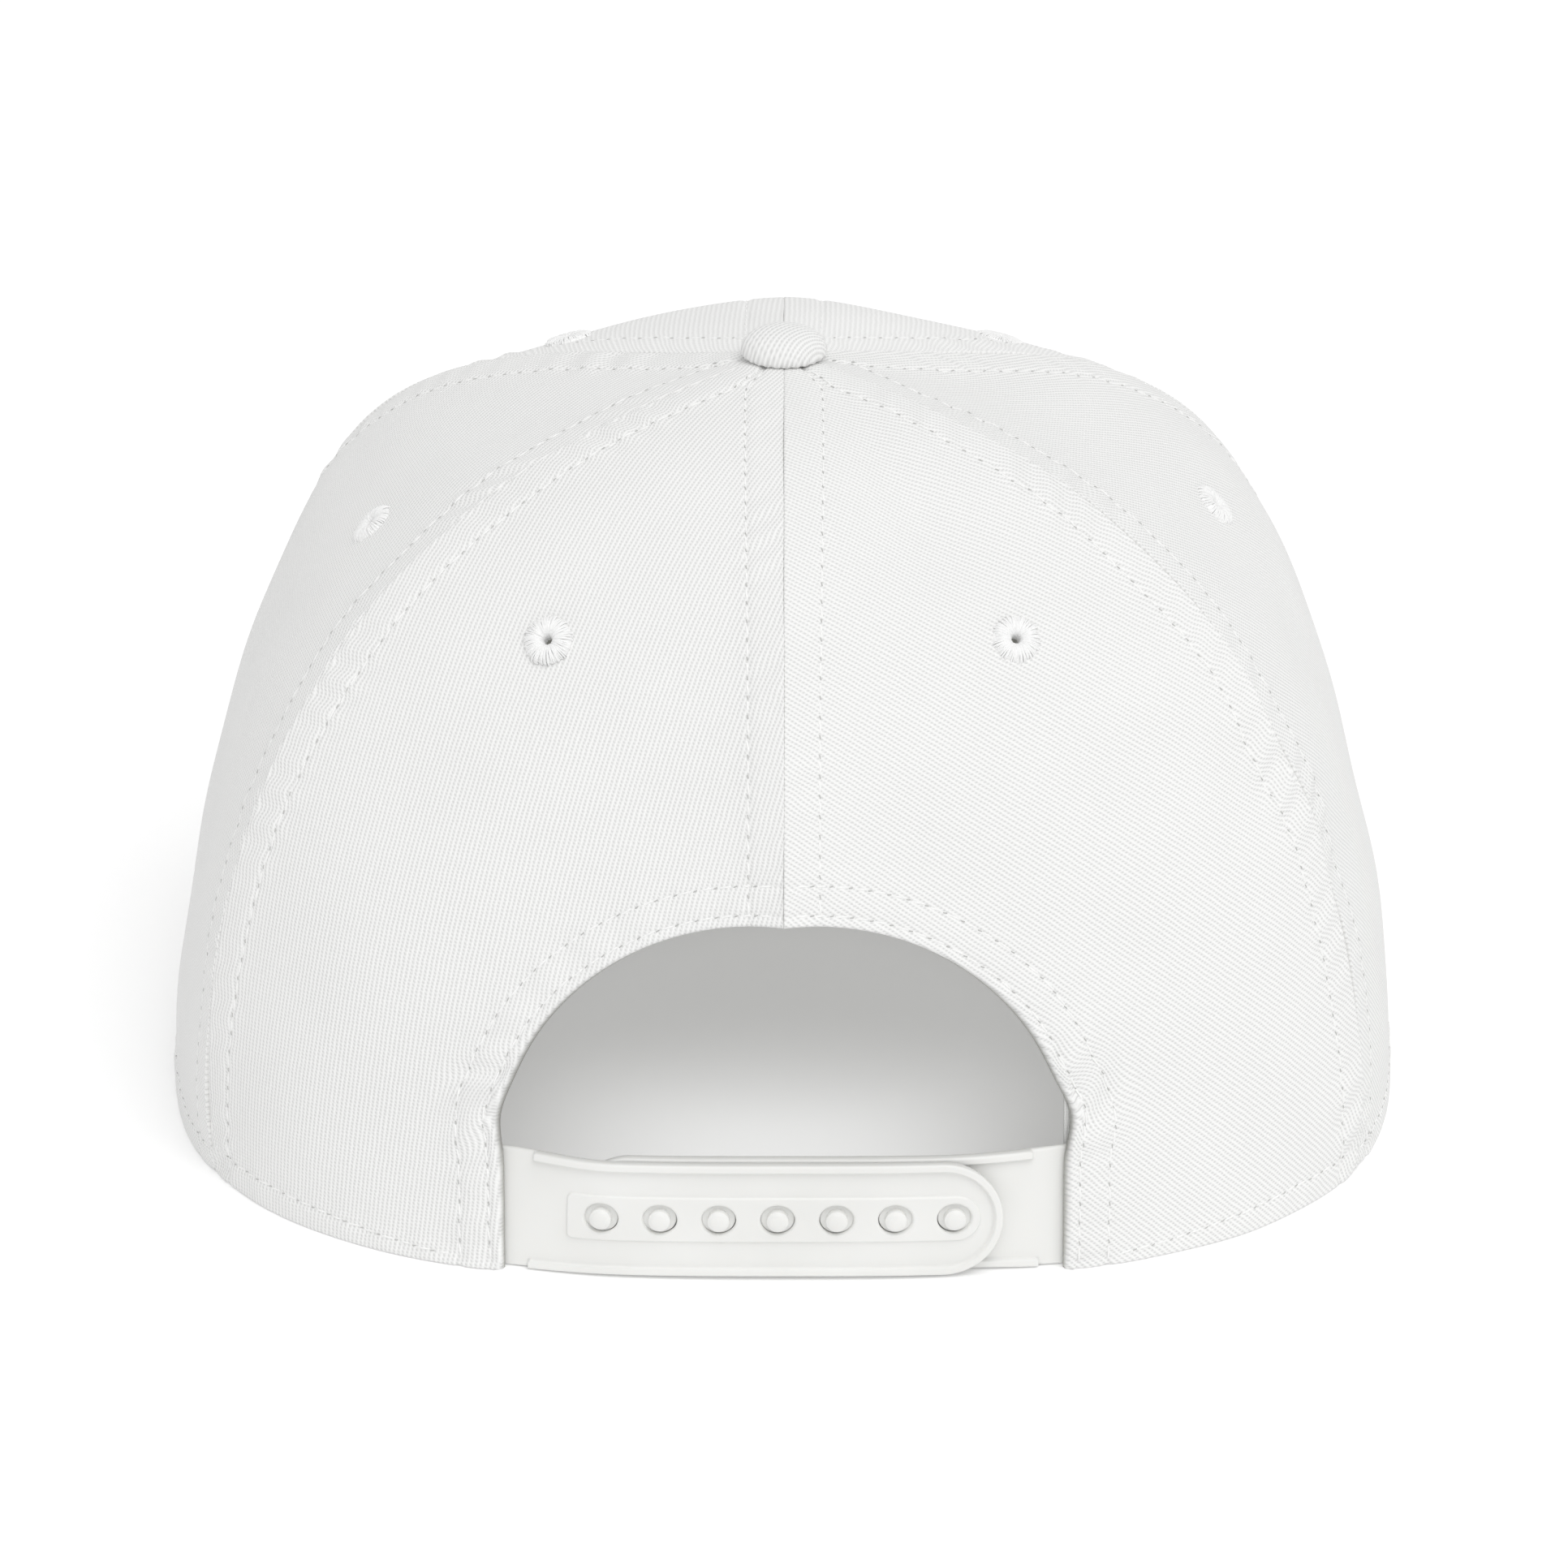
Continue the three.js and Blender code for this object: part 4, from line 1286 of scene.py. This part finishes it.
# Embroidered eyelets
eyeletRing = {
    "hole": 0.85,
    "outer": 3.75,
    "rise": 0.8,
    "riseInFront": 0.5,
    "thread": 0.155,
    "threads": 78,
    "wall": 1.6,
    "shorter": 0.9,
    "longer": 1.06,
}


def makeEyeletTree():
    tree = bpy.data.node_groups.new("threads_round_an_eyelet", "GeometryNodeTree")
    ports = tree.interface
    ports.new_socket("Geometry", in_out="OUTPUT", socket_type="NodeSocketGeometry")
    ports.new_socket("Geometry", in_out="INPUT", socket_type="NodeSocketGeometry")
    ports.new_socket("Threads", in_out="INPUT", socket_type="NodeSocketInt")
    ports.new_socket("Radius", in_out="INPUT", socket_type="NodeSocketFloat")
    ports.new_socket("Seed", in_out="INPUT", socket_type="NodeSocketInt")
    ports.new_socket("Material", in_out="INPUT", socket_type="NodeSocketMaterial")
    given = addNode(tree, "NodeGroupInput").outputs
    path = addNode(tree, "GeometryNodeMeshToCurve", {"Mesh": given["Geometry"]})
    section = addNode(
        tree, "GeometryNodeCurvePrimitiveCircle", {"Resolution": 5, "Radius": given["Radius"]}
    )
    thread = addNode(
        tree,
        "GeometryNodeCurveToMesh",
        {"Curve": path.outputs[0], "Profile Curve": section.outputs[0], "Fill Caps": True},
    )
    stops = addNode(tree, "GeometryNodePoints", {"Count": given["Threads"]})
    share = addNode(
        tree,
        "ShaderNodeMath",
        {0: addNode(tree, "GeometryNodeInputIndex").outputs[0], 1: given["Threads"]},
        operation="DIVIDE",
    )
    uneven = addNode(
        tree, "FunctionNodeRandomValue", {2: -0.005, 3: 0.005, "Seed": given["Seed"]}, data_type="FLOAT"
    )
    shifted = addNode(tree, "ShaderNodeMath", {0: share.outputs[0], 1: uneven.outputs[1]})
    turn = addNode(
        tree, "ShaderNodeMath", {0: shifted.outputs[0], 1: 2 * math.pi}, operation="MULTIPLY"
    )
    euler = addNode(tree, "ShaderNodeCombineXYZ", {"Z": turn.outputs[0]})
    spin = addNode(tree, "FunctionNodeEulerToRotation", {0: euler.outputs[0]})
    stretch = addNode(
        tree,
        "FunctionNodeRandomValue",
        {
            0: (eyeletRing["shorter"], 1, 0.9),
            1: (eyeletRing["longer"], 1, 1.1),
            "Seed": given["Seed"],
        },
        data_type="FLOAT_VECTOR",
    )
    ring = addNode(
        tree,
        "GeometryNodeInstanceOnPoints",
        {
            "Points": stops.outputs[0],
            "Instance": thread.outputs[0],
            "Rotation": spin.outputs[0],
            "Scale": stretch.outputs[0],
        },
    )
    real = addNode(tree, "GeometryNodeRealizeInstances", {"Geometry": ring.outputs[0]})
    even = addNode(tree, "GeometryNodeSetShadeSmooth", {"Geometry": real.outputs[0]})
    done = addNode(
        tree,
        "GeometryNodeSetMaterial",
        {"Geometry": even.outputs[0], "Material": given["Material"]},
    )
    addNode(tree, "NodeGroupOutput", {0: done.outputs[0]})
    return tree


eyeletTree = makeEyeletTree()


def makeEyelet(index, eyelet):
    hole, outer, wall = (eyeletRing[key] for key in ("hole", "outer", "wall"))
    rise = eyeletRing["riseInFront" if "front" in eyelet["name"] else "rise"]
    line = [
        (hole, -wall - 0.1),
        (hole, -0.5),
        (hole + 0.1, 0.2 * rise),
        (hole + 0.5, 0.8 * rise),
        (2.2, rise),
        (3.0, 0.85 * rise),
        (outer - 0.25, 0.5 * rise),
        (outer, 0.1),
        (outer + 0.05, -0.3),
    ]
    name = f"embroidered_{eyelet['name']}"
    mesh = bpy.data.meshes.new(name)
    points = [(x * metre, 0, z * metre) for x, z in line]
    mesh.from_pydata(points, [(i, i + 1) for i in range(len(line) - 1)], [])
    piece = bpy.data.objects.new(name, mesh)
    bpy.context.collection.objects.link(piece)
    values = {
        "Threads": eyeletRing["threads"],
        "Radius": eyeletRing["thread"] * metre,
        "Seed": index + 3,
        "Material": rayonThread,
    }
    evaluated(piece, eyeletTree, values)
    ring = [(away + (0.12 if away < 1.2 else 0), up - 0.12) for away, up in line]
    base, faces = lathe([*ring, (outer, -0.6), (1.9, -0.6), (1.9, -wall - 0.1), ring[0]], 40)
    made = bmesh.new()
    made.from_mesh(piece.data)
    corners = [made.verts.new(point) for point in (base * metre).tolist()]
    for face in faces:
        made.faces.new([corners[corner] for corner in face]).smooth = True
    bmesh.ops.remove_doubles(made, verts=corners, dist=1e-7)
    point, normal = eyeletPlace(eyelet)
    turn = standing(normal, point * metre, (0, 0, 1))
    made.transform(turn)
    made.to_mesh(piece.data)
    made.free()
    settle(piece, rayonThread, "eyelet_thread", eyelet["name"])


for index, eyelet in enumerate(eyelets):
    makeEyelet(index, eyelet)
print("eyelets:", len(pieces[-1].data.polygons), "faces each")

# Straps
strap = {
    "height": 18.8,
    "plate": 1.1,
    "base": 1.1,
    "rimRise": 0.75,
    "rimWidth": 1.2,
    "slope": 0.16,
    "freeFrom": 48,
    "freeAt": 26,
    "sag": 0.45,
    "endSag": 0.5,
    "clearance": 0.45,
    "tuck": 12,
    "reach": 34.3,
    "rimStart": 3.4,
    "lean": 0.03,
    "holeLift": 0.7,
    "padStart": 34.3,
    "padEnd": 30.8,
    "padHeight": 7.4,
    "padRise": 0.34,
    "edgeRadius": 0.4,
    "spacing": 0.55,
    "fill": 0.62,
}
snaps = {
    "count": 7,
    "pitch": 9.25,
    "centre": 1.0,
    "holeWidth": 5.4,
    "holeHeight": 4.9,
    "pegRadius": 1.68,
    "pegProud": 0.85,
    "pegDome": 0.36,
    "footGap": 0.1,  # round the pegs' low feet, which fill the holes
    "footSunk": 0.75,
}
strapMiddle = strap["base"] + strap["height"] / 2
snapPlaces = [
    snaps["centre"] + (index - (snaps["count"] - 1) / 2) * snaps["pitch"] for index in range(snaps["count"])
]


def rimAngle(x):
    power = crown["squareness"]
    back = crown["backReach"] * (1 - np.abs(x / crown["halfWidth"]) ** power) ** (1 / power)
    return np.degrees(np.arctan2(x, back))


def strapPoint(side, x, height, sunk):
    free = smooth((strap["freeFrom"] - side * x) / (strap["freeFrom"] - strap["freeAt"]))
    angle = rimAngle(x)
    share = shareAt(1, angle, height)
    sewn = crownLine(angle, share)[0] - dentDepth(angle, share)
    loose = rimRadius(angle) - height * strap["lean"]
    under = strap["rimRise"] + strap["clearance"] + strap["plate"] - strap["holeLift"] - 0.05
    level = 1.6 + strap["clearance"] + (-strap["holeLift"] if side > 0 else under) * free
    radius = mix(sewn, loose, free) - level - sunk
    turn = np.radians(angle)
    level = height - strap["sag"] - strap["endSag"] * (x / arch["halfWidth"]) ** 2
    place = (radius * np.sin(turn), radius * np.cos(turn) + crown["axis"], level)
    return np.stack(np.broadcast_arrays(*place), axis=-1)


def strapOutward(side, x, height):
    x, height = np.array([float(x)]), np.array([float(height)])
    along = strapPoint(side, x - 1, height, 0) - strapPoint(side, x + 1, height, 0)
    up = strapPoint(side, x, height + 1, 0) - strapPoint(side, x, height - 1, 0)
    normal = np.cross(along, up)[0]
    return normal / np.linalg.norm(normal)


def strapOutline(side):
    """Anticlockwise as seen from outside, in x to the right and height"""
    half = strap["height"] / 2
    sewnEnd = arch["halfWidth"] + strap["tuck"]
    turn = np.linspace(-math.pi / 2, math.pi / 2, 60)
    middle = strap["reach"] - half
    tip = np.stack([middle + half * np.cos(turn), strapMiddle + half * np.sin(turn)], axis=1)
    low = np.array([[-sewnEnd, strap["base"]], tip[0]])
    high = np.array([tip[-1], [-sewnEnd, strap["base"] + strap["height"]]])
    end = np.array([high[-1], low[0]])
    sides = [low, tip, high, end]
    if side < 0:
        sides = [line[::-1] * (-1, 1) for line in sides[::-1]]
    return sides


def padAway(side, points):
    """Distance inside the low pad under the snaps, negative outside it"""
    x, y = points[:, 0] * side, points[:, 1] - strapMiddle
    half = strap["padHeight"] / 2
    left, right = -strap["padStart"], strap["padEnd"]
    corner = np.where(x > (left + right) / 2, half, 0.8)
    across = np.maximum(left - x, x - right) + corner
    up = np.abs(y) - half + corner
    outside = np.hypot(np.maximum(across, 0), np.maximum(up, 0))
    return -(outside + np.minimum(np.maximum(across, up), 0) - corner)


def padOutline(side):
    half, corner = strap["padHeight"] / 2, 0.8
    left, right = -strap["padStart"], strap["padEnd"]
    arcs = []
    for x, y, radius, first in (
        (left + corner, half - corner, corner, 90),
        (left + corner, corner - half, corner, 180),
        (right - half, 0, half, 270),
    ):
        last = first + (180 if radius == half else 90)
        turn = np.radians(np.linspace(first, last, 24 if radius == half else 5))
        arcs.append(np.stack([x + radius * np.cos(turn), y + radius * np.sin(turn)], axis=1))
    line = np.concatenate([*arcs, arcs[0][:1]]) * (side, 1) + (0, strapMiddle)
    return line if side > 0 else line[::-1]


def makeStrap(name, side):
    padded = side > 0
    sides = strapOutline(side)
    outline = np.concatenate([line[:-1] for line in sides])
    closed = np.concatenate([outline, outline[:1]])
    rim, slope = strap["rimWidth"], strap["slope"]
    rows = [0.06, 0.16, 0.3, 0.45, 0.7, rim - 0.2, rim, rim + slope / 2, rim + slope, rim + 0.6]
    holes = []
    if padded:
        turn = -np.linspace(0, 2 * np.pi, 36, endpoint=False)
        for x in snapPlaces:
            ring = np.stack(
                [-x + snaps["holeWidth"] / 2 * np.cos(turn), strapMiddle + snaps["holeHeight"] / 2 * np.sin(turn)],
                axis=1,
            )
            holes.append((ring, (0.08, 0.2, 0.38, 0.6)))
    start = arch["halfWidth"] - strap["rimStart"]
    low, high = strap["base"], strap["base"] + strap["height"]
    steps = (-0.3, -0.12, 0, 0.12, 0.3)
    marks = [
        (np.array([[-side * start, end], [-side * start, middle]]), steps)
        for end, middle in ((low + 0.2, low + rim), (high - 0.2, high - rim))
    ]
    if padded:
        marks.append((padOutline(side), steps))
    spacing, fill = strap["spacing"], strap["fill"]
    front = patch([(line, rows) for line in sides], spacing, fill, holes, apart=0.05, marks=marks)
    back = patch([(line, (0.2, 0.5)) for line in sides], strap["spacing"], 1.6, [(h, (0.2,)) for h, _ in holes])

    def edges(flat):
        away, _ = nearest(closed, flat)
        for hole, _ in holes:
            away = np.minimum(away, nearest(np.concatenate([hole, hole[:1]]), flat)[0])
        return rolled(away, strap["edgeRadius"])

    def face(flat):
        away, _ = nearest(closed, flat)
        rise = strap["rimRise"] * (1 - smooth((away - rim) / slope))
        rise = rise * smooth((flat[:, 0] * side + start) / 0.3)
        if padded:
            pad = strap["padRise"] * smooth(padAway(side, flat) / strap["slope"] + 0.5)
            rise = np.maximum(rise, pad)
        return strapPoint(side, -flat[:, 0], flat[:, 1], -rise - edges(flat))

    def backFace(flat):
        return strapPoint(side, -flat[:, 0], flat[:, 1], strap["plate"] + edges(flat))

    piece = makeSheet(f"moulded_{name}", front, back, face, backFace)
    return piece


def makePegs(piece):
    """Joins the domed pegs to the strap that carries them"""
    made = bmesh.new()
    made.from_mesh(piece.data)
    for x in snapPlaces:
        normal = strapOutward(1, x, strapMiddle)
        at = np.array([float(x)]), np.array([strapMiddle])
        middle = strapPoint(1, *at, -strap["padRise"])[0]
        deep = float((middle - strapPoint(-1, *at, strap["plate"] / 2)[0]) @ normal)
        root, length = middle - normal * deep, deep + snaps["pegProud"]
        radius, dome = snaps["pegRadius"], snaps["pegDome"]
        turns = np.linspace(0, math.pi / 2, 9)
        cap = [(radius - 0.25 + 0.25 * math.cos(t), length - dome - 0.12 + 0.12 * math.sin(t)) for t in turns[:5]]
        cap += [((radius - 0.3) * math.cos(t), length - dome + dome * math.sin(t)) for t in turns[1:]]
        cap[-1] = (0.001, length)
        step, wide = length - snaps["pegProud"] - snaps["footSunk"], radius + 0.5
        foot = [(0.001, 0), (wide, 0), (wide, step - 0.08), (wide - 0.02, step - 0.02), (wide - 0.08, step)]
        foot += [(wide - 0.14, step), (radius + 0.1, step), (radius + 0.04, step), (radius, step + 0.03)]
        points, faces = lathe([*foot, (radius, step + 0.1), *cap], 36)
        outer = np.hypot(points[:, 0], points[:, 1]) > radius + 0.3
        points[outer, 0] *= (snaps["holeWidth"] / 2 - snaps["footGap"]) / wide
        points[outer, 1] *= (snaps["holeHeight"] / 2 - snaps["footGap"]) / wide
        points = moved(points, standing(normal, root)) * metre
        corners = [made.verts.new(point) for point in points.tolist()]
        for face in faces:
            made.faces.new([corners[corner] for corner in face]).smooth = True
        bmesh.ops.remove_doubles(made, verts=corners, dist=2e-6)
    made.to_mesh(piece.data)
    made.free()


holeStrap = makeStrap("hole_strap", 1)
pegStrap = makeStrap("peg_strap", -1)
makePegs(pegStrap)
settle(holeStrap, polyethylene, "strap_plastic", "hole_strap")
settle(pegStrap, polyethylene, "strap_plastic", "peg_strap")
print("straps:", len(holeStrap.data.polygons), "and", len(pegStrap.data.polygons), "faces")

# Sweatband
sweatband = {
    "height": 32,
    "thickness": 1.2,
    "base": 0.5,
    "clearance": 0.5,
    "show": (-1.2, 0.6),  # past the opening's edge, on the wearer's left and right
    "closeFrom": 20.6,  # over the strap the band lies against the panels
    "closeAt": 24,
    "edgeRadius": 0.5,
    "spacing": 1.6,
    "stitchRow": 3.2,  # above the lower edge
}


def makeSweatband():
    strapInset = 1.6 + strap["clearance"]
    shows = [arch["halfWidth"] - past for past in sweatband["show"]]
    start, last = [float(rimAngle(show)) for show in shows]
    tuckEnd = float(rimAngle(float(arch["halfWidth"] + strap["tuck"]))) + 2
    eased = tuckEnd + 14
    overStrap = strapInset + strap["plate"] + strap["clearance"]
    count = int(520 / sweatband["spacing"])
    around = np.linspace(start, 360 - last, count + 1)
    fromBack = np.minimum(around, 360 - around)
    wall = mix(1.6, peak["wall"], smooth((fromBack - 116) / 6)) + sweatband["clearance"]
    inset = mix(overStrap, wall, smooth((fromBack - tuckEnd) / (eased - tuckEnd)))
    radius, thick = sweatband["edgeRadius"], sweatband["thickness"]
    turns = np.linspace(0, math.pi / 2, 4)
    low, high = 0, sweatband["height"]
    corner = [(radius - radius * math.cos(t), radius - radius * math.sin(t)) for t in turns]
    ring = [(low + c, d) for c, d in corner[::-1]]
    body = [3.0, 3.6, 6, 12, 18, 24, 29]
    front = [(low + c, d) for c, d in corner]
    profile = front + [(h, 0.0) for h in body] + [(high - c, d) for c, d in corner[::-1]]
    behind = [(high - c, thick - d) for c, d in corner] + [(h, thick) for h in body[::-1]]
    behind += [(low + c, thick - d) for c, d in corner[::-1]]
    profile = profile + behind
    waves = softWaves(41, 5, 30, 80)
    points, uv = [], []
    run = np.concatenate([[0], np.cumsum(np.full(count, sweatband["spacing"]))])
    for column, (angle, low, high) in enumerate(zip(around, inset, wall)):
        beside = min(angle, 360 - angle)
        show = shows[1 if angle > 180 else 0]
        for height, depth in profile:
            level = sweatband["base"] + height
            close = (level - sweatband["closeFrom"]) / (sweatband["closeAt"] - sweatband["closeFrom"])
            inner = mix(low, high, smooth(close))
            turn = beside
            nearEnd = min(column, count - column)
            if nearEnd < 5:
                for _ in range(8):
                    at = np.array([turn]), shareAt(1, np.array([turn]), level)
                    place = crownPoint(*at, inner + depth, True)[0]
                    turn = float(np.degrees(np.arcsin(show / np.hypot(place[0], place[1] - crown["axis"]))))
                turn = max(beside, turn + 0.3 * nearEnd)
            sign = -1 if angle > 180 else 1
            points.append((sign * turn, level, inner + depth))
            uv.append((run[column], height if depth < thick / 2 else -height))
    points = np.array(points)
    share = shareAt(1, points[:, 0], points[:, 1])
    calm = smooth((180 - np.abs(np.abs(points[:, 0]) - 180) - start) / 20)
    soft = 0.12 * waves(np.array(uv)[:, 0], points[:, 1]) * calm
    place = crownPoint(points[:, 0], share, points[:, 2] + np.abs(soft), True)
    size = len(profile)
    faces = [tuple(range(size)), tuple(count * size + index for index in reversed(range(size)))]
    for column in range(count):
        here, there = column * size, (column + 1) * size
        for row in range(size):
            after = (row + 1) % size
            faces.append((here + after, here + row, there + row, there + after))
    piece = makePiece("tape_sweatband", place, faces, uv)
    made = bmesh.new()
    made.from_mesh(piece.data)
    bmesh.ops.recalc_face_normals(made, faces=made.faces)
    made.to_mesh(piece.data)
    made.free()
    settle(piece, cottonTape, "sweatband_tape", "sweatband")


makeSweatband()
print("sweatband:", len(pieces[-1].data.polygons), "faces")

# Stage: a white floor that runs out of sight, glowing evenly with a painted pool of light under the cap, and soft
# light from all round
stage = {
    "floor": "#f6f6f6",
    "floorGlow": 0.14,
    # painted light: the floor glows more under the cap, and more still towards the back of the rim, to light the
    # hollow inside the crown
    "paintedLightUnderCap": 0.2,  # more of it under the cap
    "underReach": (0.03, 0.09),
    "paintedLightTowardsBack": 0.24,  # more still towards the back of the rim
    "backFrom": (0, 0.112, 0),
    "backReach": (0.03, 0.09),
    "world": 0.68,
    "keyStrength": 1.25,
    "keySpread": 50,
    "keyFrom": (-0.4, 0.8, 1.5),
    "elevation": 23.68,
    "distance": 1100,
    "aimHeight": 44.48,
    "lens": 153.8,
}


def makeStage():
    scene = bpy.context.scene
    scene.view_settings.view_transform = "Standard"
    mesh = bpy.data.meshes.new("floor")
    reach = 12
    mesh.from_pydata([(-reach, -reach, 0), (reach, -reach, 0), (reach, reach, 0), (-reach, reach, 0)], [], [(0, 1, 2, 3)])
    floor = bpy.data.objects.new("floor", mesh)
    bpy.context.collection.objects.link(floor)
    material, tree, shader = newMaterial("opal_acrylic_backlit_with_painted_light_pool")
    grain = addNode(tree, "ShaderNodeTexNoise", {"Scale": 40})
    tint = addNode(
        tree,
        "ShaderNodeMix",
        {0: grain.outputs["Fac"], 6: linear("#f4f4f4"), 7: linear(stage["floor"])},
        data_type="RGBA",
    )
    tree.links.new(tint.outputs[2], shader.inputs["Base Color"])
    shader.inputs["Roughness"].default_value = 1.0
    shader.inputs["Specular IOR Level"].default_value = 0.0
    shader.inputs["Emission Color"].default_value = (1, 1, 1, 1)
    # painted light: the floor's glow rises in a pool under the cap and towards the back of the rim
    spot = addNode(
        tree,
        "ShaderNodeVectorMath",
        {0: addNode(tree, "ShaderNodeTexCoord").outputs["Object"], 1: (0, crown["axis"] * metre, 0)},
        operation="DISTANCE",
    )
    under = addNode(
        tree,
        "ShaderNodeMapRange",
        {0: spot.outputs["Value"], 1: stage["underReach"][0], 2: stage["underReach"][1], 3: 1, 4: 0},
        interpolation_type="SMOOTHSTEP",
    )
    rear = addNode(
        tree,
        "ShaderNodeVectorMath",
        {0: addNode(tree, "ShaderNodeTexCoord").outputs["Object"], 1: stage["backFrom"]},
        operation="DISTANCE",
    )
    paintedPoolStrength = addNode(
        tree,
        "ShaderNodeMapRange",
        {
            0: rear.outputs["Value"],
            1: stage["backReach"][0],
            2: stage["backReach"][1],
            3: stage["paintedLightUnderCap"] + stage["paintedLightTowardsBack"],
            4: stage["paintedLightUnderCap"],
        },
        interpolation_type="SMOOTHSTEP",
    )
    glow = addNode(
        tree,
        "ShaderNodeMath",
        {0: under.outputs["Result"], 1: paintedPoolStrength.outputs["Result"], 2: stage["floorGlow"]},
        operation="MULTIPLY_ADD",
    )
    tree.links.new(glow.outputs["Value"], shader.inputs["Emission Strength"])
    mesh.materials.append(material)
    world = bpy.data.worlds.new("studio")
    world.use_nodes = True
    world.node_tree.nodes["Background"].inputs["Color"].default_value = (1, 1, 1, 1)
    world.node_tree.nodes["Background"].inputs["Strength"].default_value = stage["world"]
    scene.world = world
    key = bpy.data.lights.new("key", "SUN")
    key.energy = stage["keyStrength"]
    key.angle = math.radians(stage["keySpread"])
    light = bpy.data.objects.new("key", key)
    light.location = stage["keyFrom"]
    light.rotation_euler = (-Vector(stage["keyFrom"])).to_track_quat("-Z", "Y").to_euler()
    bpy.context.collection.objects.link(light)
    lens = bpy.data.cameras.new("camera")
    lens.lens = stage["lens"]
    lens.sensor_width = 36
    lens.clip_end = 100
    camera = bpy.data.objects.new("camera", lens)
    tilt = math.radians(stage["elevation"])
    camera.location = (
        0,
        (crown["axis"] + stage["distance"] * math.cos(tilt)) * metre,
        (stage["aimHeight"] + stage["distance"] * math.sin(tilt)) * metre,
    )
    camera.rotation_euler = (math.pi / 2 - tilt, 0, math.pi)
    bpy.context.collection.objects.link(camera)
    scene.camera = camera


makeStage()
bpy.context.view_layer.update()
